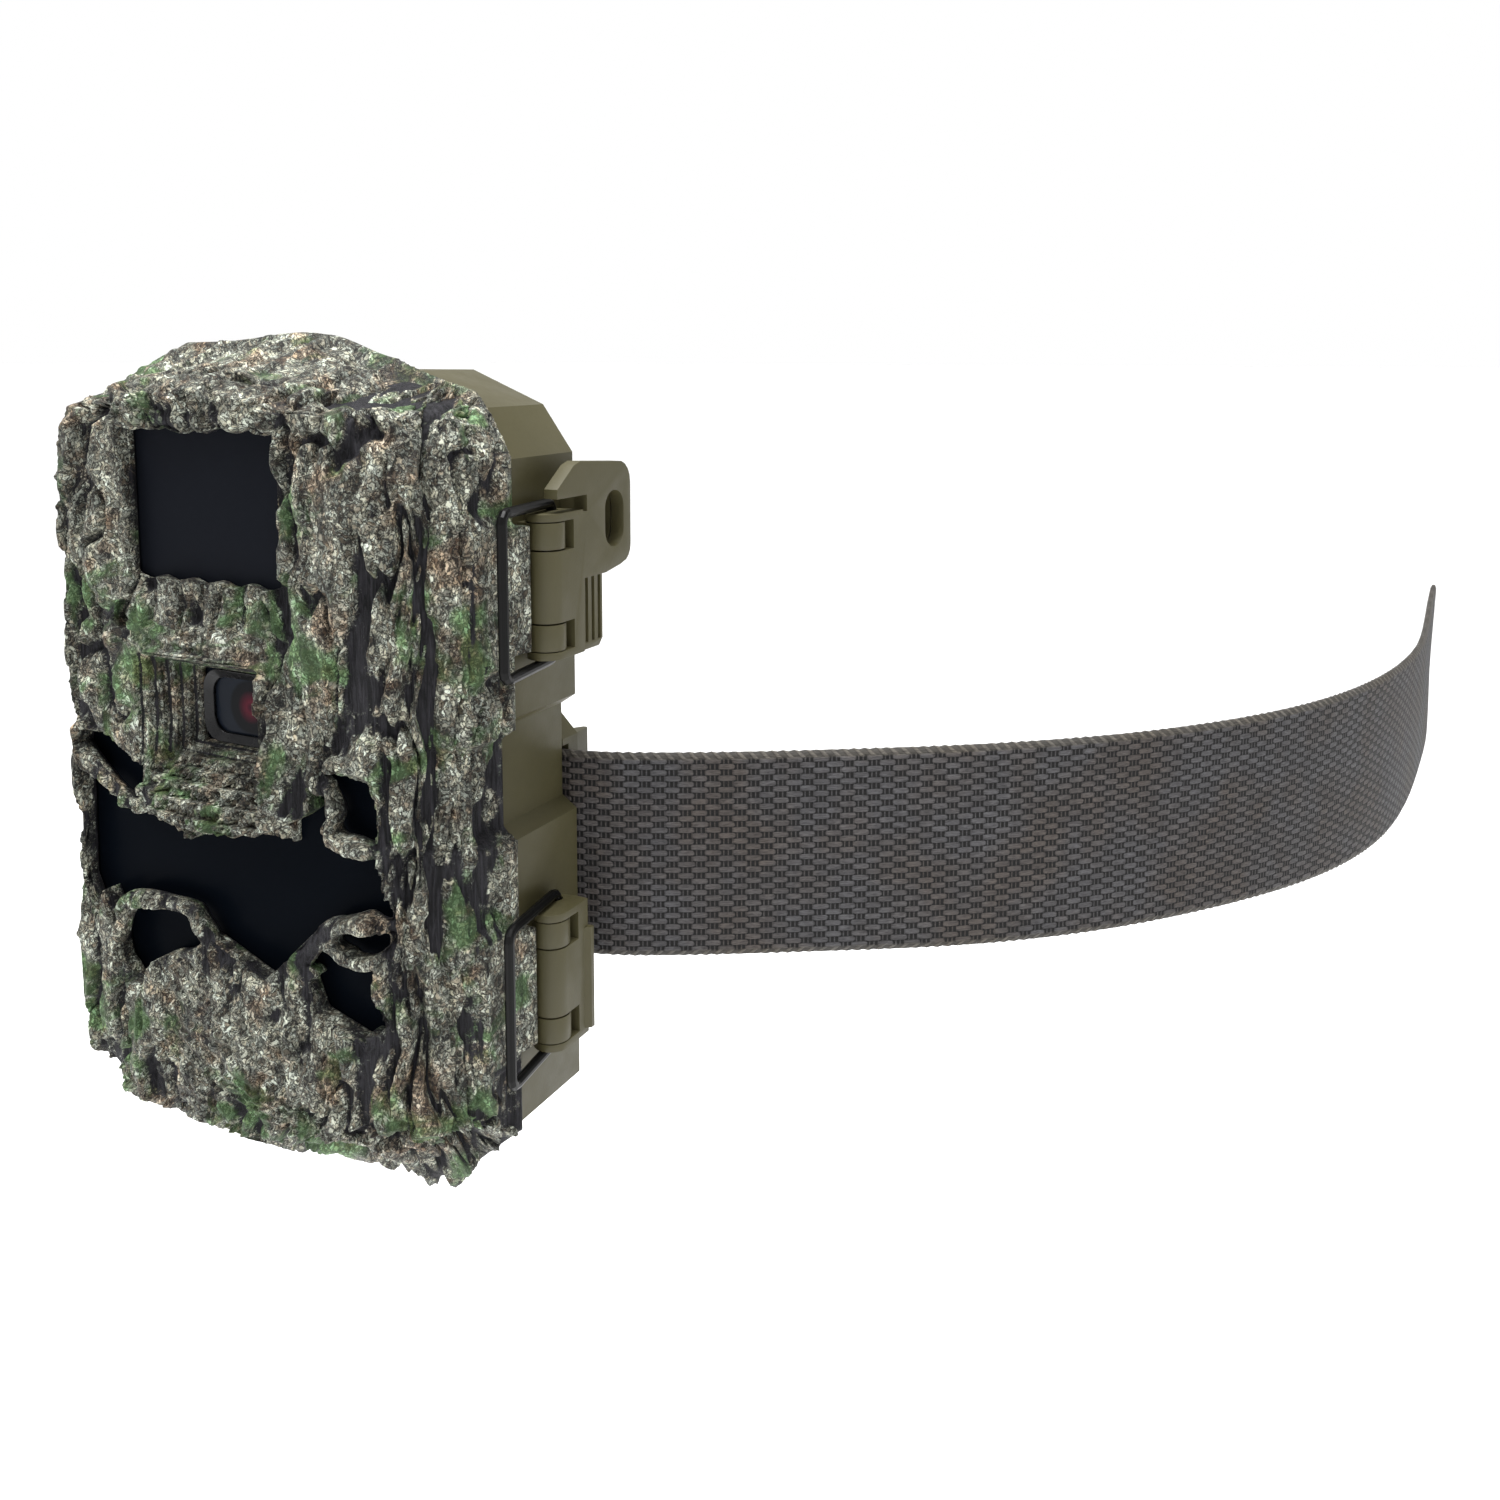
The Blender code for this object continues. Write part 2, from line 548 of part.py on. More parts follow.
def tripod_insert():
    ring = circle((0.0, TRIPOD_Y), TRIPOD_R, 24)
    insert = prism_z("tripod_insert", ring, CASE_FOOT, CASE_FOOT + TRIPOD_L, "brass")
    bore = circle((0.0, TRIPOD_Y), TRIPOD_BORE_R, 24)
    cut(insert, prism_z("tripod_bore", bore, CASE_FOOT - OVER, CASE_FOOT + TRIPOD_L + OVER))
    return smooth(insert)


# ---------------------------------------------------------------- bracket, strap and buckle


def tree_bracket():
    """Plate that the strap runs behind, with a flat pad and toothed edges that bear on bark."""
    half_w, half_h = BRACKET_W / 2, BRACKET_H / 2
    plate_front = STRAP_Y + STRAP_T / 2 + GAP
    plate_back = plate_front + BRACKET_PLATE
    shape = chamfered(-half_w, half_w, -half_h, half_h, BRACKET_CORNER)
    bracket = prism_y("tree_bracket", shape, BACK_Y + GAP, plate_back)
    slot_half = STRAP_W / 2 + STRAP_ROOM
    reach = half_w + OVER
    channel = rectangle(-reach, reach, -slot_half, slot_half)
    cut(bracket, prism_y("strap_channel", channel, BACK_Y - OVER, plate_front))
    pad = chamfered(-PAD_W / 2, PAD_W / 2, -half_h, half_h, PAD_CORNER)
    add(bracket, prism_y("bracket_pad", pad, plate_back - ROOT / 2, 0.0))
    for side in (-1, 1):
        for number in range(TOOTH_COUNT):
            add(bracket, bracket_tooth(side, number, plate_back - ROOT / 2))
    for number, z in enumerate((SCREW_Z, -SCREW_Z)):
        hole = circle((0.0, z), SCREW_R + GAP, 16)
        cut(bracket, prism_y(f"bracket_screw_hole_{number}", hole, BACK_Y - OVER, OVER))
        sink = circle((0.0, z), SCREW_HEAD_R + GAP, 16)
        cut(bracket, prism_y(f"bracket_sink_{number}", sink, -SCREW_HEAD_H - SCREW_SINK, OVER))
    return bracket


def bracket_tooth(side, number, root_y):
    """One upright ridge at the bracket's edge, the outermost first, leaning outward."""
    at = side * (BRACKET_W / 2 - TOOTH_W * (number + 0.5))
    tip = at + side * TOOTH_LEAN
    tip_y = -TOOTH_SET - TOOTH_STEP * number
    profile = [(at - TOOTH_W / 2, root_y), (at + TOOTH_W / 2, root_y)]
    profile += [(tip + TOOTH_TIP, tip_y), (tip - TOOTH_TIP, tip_y)]
    half = BRACKET_H / 2 - BRACKET_CORNER
    return prism_z(f"bracket_tooth_{side}_{number}", profile, -half, half)


def bracket_screw(name, z):
    """Slotted countersunk screw through the bracket into the case's back."""
    back = GAP - SCREW_SINK
    front = back - SCREW_HEAD_H
    tip = BACK_Y - BACK_WALL + GAP
    profile = [(tip, SCREW_R), (front, SCREW_R), (front, SCREW_HEAD_R)]
    profile.append((back, SCREW_HEAD_R - SCREW_EDGE))
    screw = turned_y(name, 0.0, z, profile, "steel", 16)
    reach, half = SCREW_SLOT_REACH, SCREW_SLOT_HALF
    slot = rectangle(-reach, reach, z - half, z + half)
    cut(screw, prism_y(f"{name}_slot", slot, back - SCREW_SLOT_DEEP, OVER))
    return smooth(screw)


def curve_through(points, steps):
    """A smooth curve through hand-placed points, by Catmull-Rom spans."""
    spots = [Vector(p) for p in points]
    ends = [2 * spots[0] - spots[1]] + spots + [2 * spots[-1] - spots[-2]]
    line = []
    for a, b, c, d in zip(ends, ends[1:], ends[2:], ends[3:]):
        for i in range(steps):
            t = i / steps
            bend = (2 * a - 5 * b + 4 * c - d) * t + (3 * b - a - 3 * c + d) * t * t
            line.append(0.5 * (2 * b + (c - a) * t + bend * t))
    return line + [spots[-1]]


def buckle_vectors():
    """Plan directions along the buckle, away from the case, and square to it, towards the tree."""
    away = Vector(BUCKLE_WAY).normalized()
    return away, Vector((-away.y, away.x))


def buckle_point(along, across):
    """A plan point from the buckle's bar."""
    away, square = buckle_vectors()
    return Vector(BUCKLE_AT) + away * along + square * across


def strap_path():
    """Plan of the strap's centre line: buckle loop, run behind the case, then the free end."""
    edge = BRACKET_W / 2
    loop_r = BUCKLE_BAR_R + GAP + STRAP_T / 2
    loop = [buckle_point(-15.0, 2.6 - loop_r), buckle_point(-8.0, 1.4 - loop_r)]
    loop += [buckle_point(0.0, -loop_r), buckle_point(loop_r, 0.0), buckle_point(0.0, loop_r)]
    lead = [(-edge - 13.0, STRAP_Y + 4.4), (-edge - 3.5, STRAP_Y + 0.5), (-edge + 3.0, STRAP_Y)]
    middle = [(0.0, STRAP_Y), (edge - 3.0, STRAP_Y), (edge + 3.5, STRAP_Y + 0.5)]
    free = [(57.0, -3.8), (80.0, 9.5), (110.0, 29.5), (135.0, 52.5), (157.0, 82.0)]
    free += [(171.0, 113.0), (179.0, 150.0), (183.0, 200.0), (185.0, 259.0)]
    return curve_through(loop + lead + middle + free, 5)


def strap():
    """Flat webbing standing on edge: a ribbon of even thickness along its path."""
    path = strap_path()
    left, right = [], []
    for i, here in enumerate(path):
        ahead = (path[min(i + 1, len(path) - 1)] - path[max(i - 1, 0)]).normalized()
        side = Vector((-ahead.y, ahead.x)) * STRAP_T / 2
        left.append(tuple(here + side))
        right.append(tuple(here - side))
    band = right + list(reversed(left))
    return prism_z("strap", band, -STRAP_W / 2, STRAP_W / 2, "webbing")


def buckle_frame():
    """Steel channel: a base, two cheeks and the bar that the strap is sewn round."""
    back = BUCKLE_BASE + BUCKLE_T
    low = back - BUCKLE_CHEEK
    base = [(BUCKLE_BASE_START, BUCKLE_BASE), (BUCKLE_L, BUCKLE_BASE)]
    base += [(BUCKLE_L, back), (BUCKLE_BASE_START, back)]
    plate = [tuple(buckle_point(*p)) for p in base]
    frame = prism_z("buckle_frame", plate, -BUCKLE_HALF, BUCKLE_HALF, "steel")
    cheek = [(-2.6, -2.4), (-2.6, 2.4), (4.0, back), (BUCKLE_L, back), (BUCKLE_L - 2.0, 0.0)]
    cheek += [(BUCKLE_L - 9.0, low), (BUCKLE_L - 16.0, low), (4.0, -3.4)]
    outline = [tuple(buckle_point(*p)) for p in cheek]
    for side in (-1, 1):
        edges = (side * (BUCKLE_HALF - ROOT / 2), side * (BUCKLE_HALF + BUCKLE_T))
        add(frame, prism_z(f"buckle_cheek_{side}", outline, min(edges), max(edges)))
    bar = circle(BUCKLE_AT, BUCKLE_BAR_R, 16)
    reach = BUCKLE_HALF + ROOT / 2
    add(frame, prism_z("buckle_bar", bar, -reach, reach))
    hole = circle(tuple(cam_pivot()), PIN_HOLE_R, 16)
    reach = BUCKLE_HALF + BUCKLE_T + OVER
    cut(frame, prism_z("buckle_pin_hole", hole, -reach, reach))
    return frame


def cam_pivot():
    return buckle_point(BUCKLE_L - CAM_BACK, BUCKLE_BASE + BUCKLE_T - BUCKLE_CHEEK + CAM_UP)


def buckle_cam():
    """Thumb lever with the cam that grips the strap's free end."""
    centre = cam_pivot()
    away, square = buckle_vectors()
    half = STRAP_W / 2 - CAM_SIDE

    def plan(points):
        return [tuple(centre + away * u + square * v) for u, v in points]

    drum = plan(circle((0, 0), CAM_R, 20))
    cam = prism_z("buckle_cam", hull(drum + plan(CAM_NOSE)), -half, half, "steel")
    add(cam, prism_z("cam_thumb", plan(CAM_THUMB), -half, half))
    bore = circle(tuple(centre), PIN_HOLE_R, 16)
    cut(cam, prism_z("cam_bore", bore, -half - OVER, half + OVER))
    return pivot_at(cam, centre.x, centre.y, 0.0)


# ---------------------------------------------------------------- front cover


def window_holes():
    """(x, z) outlines of the openings in the bark over the lower window.

    They are drawn for an opening 35 mm to each side and follow the width that the case leaves.
    """
    main = [(-34, -4), (-30, -12), (-27, 3), (-16, 5), (-9, -7), (10, -14), (15, -9), (22, -3)]
    main += [(34, -4), (34.5, 6), (30, 12), (20, 14), (17, 13.5), (9, 8.5), (-2, 7), (-12, 11)]
    main += [(-19, 16.5), (-29, 14), (-33.5, 18)]
    corner = [(-33, 24), (-34, 21), (-29, 16.5), (-23, 19.5), (-24, 24)]
    right_top = [(20, 22), (22, 16), (31, 13.5), (31.5, 20), (26, 25), (22, 24.5)]
    left_low = circle((-21.5, -5), 6.5, 12)
    right_mid = [(22, -6), (29, -9), (34, -8), (33.5, -6), (27, -4.5)]
    right_low = [(19, -12), (21, -17), (32, -20), (31, -10), (24, -9)]
    wide = PANEL_HALF / 35.0
    shapes = (main, corner, right_top, left_low, right_mid, right_low)
    return [[(x * wide, WINDOW_Z + z) for x, z in shape] for shape in shapes]


def box_at(half_w, half_h, z):
    """Upright rectangle about x = 0."""
    return rectangle(-half_w, half_w, z - half_h, z + half_h)


def cover_brow():
    """Eave over the upper window."""
    low_z = IR_Z + IR_H / 2 + BROW_RISE
    rings = []
    for ahead, narrow, low in (
        (COVER_STRAIGHT, 0.0, 0.0),
        (COVER_D, BROW_NARROW * 0.2, 0.0),
        (COVER_D + BROW_OUT, BROW_NARROW, BROW_LOWER),
    ):
        half = BROW_W / 2 - narrow
        box = rectangle(-half, half, low_z + low, low_z + BROW_H - narrow * 0.8)
        rings.append([(x, PART_Y - ahead, z) for x, z in box])
    return loft("cover_brow", rings)


def cover_hood():
    """Stepped swelling round the lens recess."""
    rings = []
    for out, wide, foot, top in HOOD_STEPS:
        box = chamfered(-wide, wide, LENS_Z - foot, LENS_Z + top, HOOD_CORNER)
        rings.append([(x, FACE_Y - out, z) for x, z in box])
    return loft("cover_hood", rings)


def cover_openings(cover):
    """The lens recess, the upper window with its rebate, the lower window and the sensor hole."""
    front = FACE_Y - HOOD_OUT - BROW_OUT - OVER
    shell_back = PART_Y - PANEL_LEVEL + OVER
    half_w, half_h = LENS_W / 2, LENS_H / 2
    bore = rounded(-half_w, half_w, LENS_Z - half_h, LENS_Z + half_h, LENS_CORNER)
    cut(cover, prism_y("lens_bore", bore, front, LENS_PANE_Y + OVER))
    half_w, half_h = IR_W / 2, IR_H / 2
    cut(cover, prism_y("ir_opening", box_at(half_w, half_h, IR_Z), front, shell_back))
    lap = PANE_LAP + GAP
    rebate = box_at(half_w + lap, half_h + lap, IR_Z)
    cut(cover, prism_y("ir_rebate", rebate, PART_Y - IR_LEVEL - GAP, shell_back))
    for number, shape in enumerate(window_holes()):
        cut(cover, prism_y(f"panel_opening_{number}", shape, front, shell_back))
    eye = circle((SENSOR_X, SENSOR_Z), SENSOR_R + GAP, 16)
    cut(cover, prism_y("sensor_opening", eye, front, shell_back))


def cover_fittings(cover):
    """Catch strips on the latch side and hinge knuckles on the other."""
    root_x, root_y = SIDE - ROOT / 2, COVER_BACK_Y - ROOT / 2
    front_y, back_y = PART_Y - CATCH_FRONT, PART_Y + CATCH_BACK
    strip = [(SIDE + GAP, back_y), (SIDE + GAP, COVER_BACK_Y), (root_x, root_y)]
    strip += [(root_x, front_y), (CATCH_X - ROOT, front_y), (CATCH_X, back_y)]
    for label, z in LATCH_ZS.items():
        add(cover, prism_z(f"catch_{label}", strip, z - CATCH_HALF, z + CATCH_HALF))
    arm = (ROOT - SIDE - RIM_PROUD, -HINGE_ARM_COVER, -GAP)
    for label, z in HINGE_ZS.items():
        low, high = z - HINGE_KNUCKLE / 2, z + HINGE_KNUCKLE / 2
        add(cover, *knuckle(f"cover_hinge_{label}", HINGE, HINGE_R, *arm, low, high))
        hole = circle(tuple(HINGE), PIN_HOLE_R, 16)
        cut(cover, prism_z(f"cover_hinge_bore_{label}", hole, low - OVER, high + OVER))


def front_cover():
    """Bark-relief cover: a shell with a brow, a lens hood and openings for its windows."""

    def rings(grow, depths):
        return [[(x, PART_Y - a, z) for x, z in cover_ring(grow, a)] for a in depths]

    cover = loft("front_cover", rings(RIM_PROUD, (GAP, COVER_STRAIGHT, COVER_D)), "bark")
    hollow = (-OVER, COVER_STRAIGHT, PANEL_LEVEL + GAP)
    cut(cover, loft("cover_hollow", rings(RIM_PROUD - COVER_WALL, hollow)))
    add(cover, cover_brow(), cover_hood())
    half_w, half_h = LENS_W / 2 + LENS_TUBE_WALL, LENS_H / 2 + LENS_TUBE_WALL
    corner = LENS_CORNER + LENS_TUBE_WALL
    tube = rounded(-half_w, half_w, LENS_Z - half_h, LENS_Z + half_h, corner)
    add(cover, prism_y("lens_tube", tube, FACE_Y + ROOT, LENS_PANE_Y - GAP))
    cover_openings(cover)
    cover_fittings(cover)
    return cover


def panes():
    """The three windows that close the cover's openings from inside."""
    shape = box_at(IR_W / 2 + PANE_LAP, IR_H / 2 + PANE_LAP, IR_Z)
    ir_y = PART_Y - IR_LEVEL
    made = [prism_y("ir_window", shape, ir_y, ir_y + PANE_T, "black_window")]
    half, notch = PANEL_HALF + PANE_LAP, PANEL_NOTCH_W / 2
    foot, top = WINDOW_Z - PANEL_FALL, WINDOW_Z + PANEL_RISE
    step = WINDOW_Z + PANEL_NOTCH_RISE
    shape = [(-half, foot), (half, foot), (half, top), (notch, top)]
    shape += [(notch, step), (-notch, step), (-notch, top), (-half, top)]
    panel_y = PART_Y - PANEL_LEVEL
    made.append(prism_y("pir_window", shape, panel_y, panel_y + PANE_T, "black_window"))
    half_w, half_h = LENS_W / 2 + PANE_LAP, LENS_H / 2 + PANE_LAP
    shape = rounded(-half_w, half_w, LENS_Z - half_h, LENS_Z + half_h, LENS_CORNER)
    back_y = LENS_PANE_Y + PANE_T
    made.append(prism_y("lens_window", shape, LENS_PANE_Y, back_y, "black_window"))
    return made


# ---------------------------------------------------------------- optics and electronics


def led_board():
    """Board behind the upper window with its rows of infrared lamps."""
    lamp_y = PART_Y - IR_LEVEL + PANE_T
    board_y = lamp_y + LED_H
    shape = box_at(IR_W / 2, IR_H / 2, IR_Z)
    board = prism_y("led_board", shape, board_y, board_y + BOARD_T, "board")
    profile = [(lamp_y + GAP, LED_R * 0.6), (lamp_y + LED_H * 0.4, LED_R), (board_y + GAP, LED_R)]
    for row in range(LED_ROWS):
        for column in range(LED_COLUMNS):
            x = (column - (LED_COLUMNS - 1) / 2) * LED_PITCH
            z = IR_Z + (row - (LED_ROWS - 1) / 2) * LED_PITCH
            add(board, turned_y(f"led_{row}_{column}", x, z, profile, "board", 8))
    return board


def light_sensor():
    front = FACE_Y + COVER_WALL - GAP / 2
    profile = [(front, SENSOR_R * 0.6), (front + 0.8, SENSOR_R), (front + SENSOR_L, SENSOR_R)]
    return smooth(turned_y("light_sensor", SENSOR_X, SENSOR_Z, profile, "black_window", 16))


def lens_barrel():
    """Flanged tube that holds the lens."""
    back = BARREL_Y + BARREL_L
    flange_y, flange_r = back - FLANGE_T, BARREL_R + FLANGE_OUT
    profile = [(BARREL_Y, BARREL_R), (flange_y, BARREL_R), (flange_y, flange_r), (back, flange_r)]
    barrel = turned_y("lens_barrel", 0.0, LENS_Z, profile, "panel", 32)
    bore = circle((0.0, LENS_Z), BARREL_R - BARREL_WALL, 24)
    return cut(barrel, prism_y("barrel_bore", bore, BARREL_Y - OVER, back + OVER))


def lens_glass():
    """Domed front element."""
    radius = BARREL_R - BARREL_WALL - GAP
    profile = [(0.3, radius * 0.3), (0.6, radius * 0.7), (1.3, radius), (2.6, radius)]
    steps = [(BARREL_Y + y, r) for y, r in profile]
    return smooth(turned_y("lens_glass", 0.0, LENS_Z, steps, "lens_glass", 24), 60)


def ir_cut_filter():
    """Infrared-cut glass that slides across behind the lens for daylight."""
    shape = box_at(FILTER_W / 2, FILTER_H / 2, LENS_Z)
    glass = prism_y("ir_cut_filter", shape, FILTER_Y, FILTER_Y + FILTER_T, "lens_glass")
    return pivot_at(glass, 0.0, FILTER_Y, LENS_Z)


def image_board():
    shape = box_at(IMAGE_BOARD_W / 2, IMAGE_BOARD_H / 2, LENS_Z)
    board = prism_y("image_board", shape, IMAGE_BOARD_Y, IMAGE_BOARD_Y + BOARD_T, "board")
    chip = box_at(CHIP_W / 2, CHIP_H / 2, LENS_Z)
    return add(board, prism_y("image_chip", chip, IMAGE_BOARD_Y - CHIP_PROUD, IMAGE_BOARD_Y + GAP))


def pir_sensor():
    """Metal can of the motion sensor, ahead of the main board."""
    front = MAIN_BOARD_Y - PIR_L
    profile = [(front, PIR_R - 0.6), (front + 0.5, PIR_R), (MAIN_BOARD_Y - GAP, PIR_R)]
    return smooth(turned_y("pir_sensor", 0.0, WINDOW_Z, profile, "steel", 20))


def main_board():
    half = SIDE - BOARD_MARGIN_X
    foot, top = CASE_FOOT + BOARD_MARGIN_FOOT, CASE_TOP - BOARD_MARGIN_TOP
    shape = chamfered(-half, half, foot, top, BOARD_CORNER)
    board = prism_y("main_board", shape, MAIN_BOARD_Y, MAIN_BOARD_Y + BOARD_T, "board")
    half_w, half_h = IMAGE_BOARD_W / 2 + BOARD_CUTOUT, IMAGE_BOARD_H / 2 + BOARD_CUTOUT
    hole = box_at(half_w, half_h, LENS_Z)
    low, high = MAIN_BOARD_Y - OVER, MAIN_BOARD_Y + BOARD_T + OVER
    return cut(board, prism_y("board_cutout", hole, low, high))


def card_box():
    """x0, x1, z0, z1 of the memory card."""
    return CARD_X - CARD_W / 2, CARD_X + CARD_W / 2, CARD_TOP - CARD_H, CARD_TOP


def usb_box(grow):
    half_w, half_h = USB_W / 2 + grow, USB_H / 2 + grow
    return rectangle(USB_X - half_w, USB_X + half_w, USB_Z - half_h, USB_Z + half_h)


def inner_panel():
    """Panel that faces the user when the door is open, with an opening for each control."""
    edge = cover_outline(-CASE_WALL - GAP)
    panel = prism_y("inner_panel", edge, INNER_FRONT_Y, INNER_BACK_Y, "panel")
    low, high = INNER_FRONT_Y - OVER, INNER_BACK_Y + OVER
    view = box_at(LCD_W / 2 - LCD_BEZEL_X, LCD_H / 2 - LCD_BEZEL_Z, LCD_Z)
    cut(panel, prism_y("screen_opening", view, low, high))
    for name, x, z in button_places():
        cut(panel, prism_y(f"{name}_hole", circle((x, z), BUTTON_R + GAP, 20), low, high))
    half_w, half_h = SWITCH_KNOB_W / 2 + GAP, SWITCH_KNOB_H / 2 + GAP
    slot_end = SWITCH_X + SWITCH_TRAVEL + half_w
    slot = rectangle(SWITCH_X - half_w, slot_end, SWITCH_Z - half_h, SWITCH_Z + half_h)
    cut(panel, prism_y("switch_slot", slot, low, high))
    x0, x1, z0, z1 = card_box()
    foot = z0 - CARD_TRAVEL - CARD_BAY_FOOT
    bay = rectangle(x0 - CARD_BAY_SIDE, x1 + CARD_BAY_SIDE, foot, z1 + CARD_BAY_TOP)
    cut(panel, prism_y("card_bay", bay, low, high))
    return cut(panel, prism_y("port_opening", usb_box(GAP), low, high))


def lcd_screen():
    back = INNER_FRONT_Y - GAP
    shape = box_at(LCD_W / 2, LCD_H / 2, LCD_Z)
    return prism_y("lcd_screen", shape, back - LCD_T, back, "screen")


def card_front_y():
    return INNER_FRONT_Y - GAP - SOCKET_T + SOCKET_WALL


def sd_socket():
    x0, x1, z0, z1 = card_box()
    mouth_z = z1 - CARD_IN
    shell = rectangle(x0 - SOCKET_SIDE, x1 + SOCKET_SIDE, mouth_z, z1 + SOCKET_SIDE)
    front, back = card_front_y() - SOCKET_WALL, INNER_FRONT_Y - GAP
    socket = prism_y("sd_socket", shell, front, back, "steel")
    mouth = rectangle(x0 - GAP, x1 + GAP, mouth_z - OVER, z1 + GAP)
    low, high = card_front_y() - GAP, card_front_y() + CARD_T + GAP
    return cut(socket, prism_y("socket_mouth", mouth, low, high))


def sd_card():
    x0, x1, z0, z1 = card_box()
    shape = [(x0, z0), (x1, z0), (x1, z1), (x0 + CARD_CORNER, z1), (x0, z1 - CARD_CORNER)]
    card = prism_y("sd_card", shape, card_front_y(), card_front_y() + CARD_T, "card")
    return pivot_at(card, CARD_X, card_front_y(), z0)


def usb_socket():
    front, back = MAIN_BOARD_Y + BOARD_T + GAP, INNER_BACK_Y - GAP
    port = prism_y("usb_socket", usb_box(0.0), front, back, "steel")
    mouth = usb_box(-USB_WALL)
    return cut(port, prism_y("usb_mouth", mouth, INNER_FRONT_Y - USB_DEEP, INNER_BACK_Y + OVER))


def button_places():
    """(name, x, z) of the six menu buttons: a cross of five and the menu key beside it."""
    names = [("button_ok", 0, 0), ("button_up", 0, 1), ("button_down", 0, -1)]
    names += [("button_left", -1, 0), ("button_right", 1, 0), ("button_menu", MENU_STEPS, 0)]
    return [(name, u * BUTTON_PITCH, BUTTON_Z + v * BUTTON_PITCH) for name, u, v in names]


def buttons():
    made = []
    back = INNER_BACK_Y + BUTTON_PROUD
    front = INNER_FRONT_Y - BUTTON_BACKED
    profile = [(front, BUTTON_R), (back - BUTTON_EDGE, BUTTON_R), (back, BUTTON_R - BUTTON_EDGE)]
    for name, x, z in button_places():
        button = smooth(turned_y(name, x, z, profile, "button", 20))
        made.append(pivot_at(button, x, back, z))
    return made


def power_switch():
    """Slide switch with a grooved knob."""
    front, back = INNER_FRONT_Y - SWITCH_PROUD, INNER_BACK_Y + SWITCH_PROUD
    half_w, half_h = SWITCH_KNOB_W / 2, SWITCH_KNOB_H / 2
    shape = rectangle(SWITCH_X - half_w, SWITCH_X + half_w, SWITCH_Z - half_h, SWITCH_Z + half_h)
    knob = prism_y("power_switch", shape, front, back, "button")
    low, high = SWITCH_Z - half_h - OVER, SWITCH_Z + half_h + OVER
    for number in (-1, 0, 1):
        at = SWITCH_X + number * SWITCH_GROOVE_PITCH
        groove = rectangle(at - SWITCH_GROOVE_W / 2, at + SWITCH_GROOVE_W / 2, low, high)
        name = f"switch_groove_{number}"
        cut(knob, prism_y(name, groove, back - SWITCH_GROOVE_DEEP, back + OVER))
    return pivot_at(knob, SWITCH_X, back, SWITCH_Z)


# ---------------------------------------------------------------- power


def tray_walls():
    """Heights of the tray's foot, middle and top cross walls, at the middle of each."""
    reach = ROW_L + 2 * CONTACT_ROOM + TRAY_T
    return CASE_MID_Z - reach, CASE_MID_Z, CASE_MID_Z + reach


def column_x(column):
    return (column - (CELL_COLUMNS - 1) / 2) * CELL_PITCH


def battery_tray():
    """Open tray with two bays, each for a row of cells."""
    foot, middle, top = tray_walls()
    half = TRAY_T / 2
    back = BACK_Y - BACK_WALL - GAP
    front = back - TRAY_T - 2 * CELL_R + TRAY_OPEN
    wide = CELL_COLUMNS * CELL_PITCH / 2 + GAP
    shape = rectangle(-wide - TRAY_T, wide + TRAY_T, foot - half, top + half)
    tray = prism_y("battery_tray", shape, front, back, "panel")
    for name, low, high in (("lower", foot, middle), ("upper", middle, top)):
        bay = rectangle(-wide, wide, low + half, high - half)
        cut(tray, prism_y(f"bay_{name}", bay, front - OVER, back - TRAY_T))
    return tray


def cell(name, x, foot_end, nub_end):
    """An AA cell from its flat end to its nub, whichever of them is higher."""
    way = 1 if nub_end > foot_end else -1
    shoulder = nub_end - way * CELL_NUB_L
    profile = [(foot_end, CELL_R - CELL_EDGE), (foot_end + way * CELL_EDGE, CELL_R)]
    profile += [(shoulder - way * CELL_EDGE, CELL_R), (shoulder, CELL_R - CELL_EDGE)]
    profile += [(shoulder, CELL_NUB_R), (nub_end, CELL_NUB_R)]
    return smooth(turned_z(name, x, CELL_AXIS_Y, profile, "cell", 20))


def cells():
    """Eight AA cells in two rows of four, neighbours end for end."""
    foot, middle, top = tray_walls()
    for row, (low, high) in enumerate(((foot, middle), (middle, top))):
        centre = (low + high) / 2
        ends = (centre - ROW_L / 2, centre + ROW_L / 2)
        for column in range(CELL_COLUMNS):
            order = ends if (row + column) % 2 else ends[::-1]
            cell(f"battery_{row * CELL_COLUMNS + column + 1}", column_x(column), *order)


def contact_strip(name, z, way):
    """Metal strip on a tray wall, with a spring cone towards each cell, up or down by way."""
    half_w = CELL_COLUMNS * CELL_PITCH / 2 - CONTACT_SIDE
    low_y, high_y = CELL_AXIS_Y - CONTACT_HALF, CELL_AXIS_Y + CONTACT_HALF
    shape = rectangle(-half_w, half_w, low_y, high_y)
    strip = prism_z(name, shape, z, z + CONTACT_T, "brass")
    middle = z + CONTACT_T / 2
    root = middle + way * (CONTACT_T / 2 - CONE_ROOT)
    tip = middle + way * (CONTACT_ROOM - CONTACT_T / 2 - 2 * GAP)
    for column in range(CELL_COLUMNS):
        cone = [(root, CONE_R), (tip, CONE_TIP_R)]
        spring = f"{name}_spring_{column}"
        add(strip, turned_z(spring, column_x(column), CELL_AXIS_Y, cone, "brass", 12))
    return strip


def contacts():
    foot, middle, top = tray_walls()
    above, below = TRAY_T / 2 + GAP, -TRAY_T / 2 - GAP - CONTACT_T
    contact_strip("contact_strip_top", top + below, -1)
    contact_strip("contact_strip_mid_upper", middle + above, 1)
    contact_strip("contact_strip_mid_lower", middle + below, -1)
    contact_strip("contact_strip_foot", foot + above, 1)


# ---------------------------------------------------------------- latches


def bail_pivot():
    return PIVOT + Vector(BAIL_PIVOT)


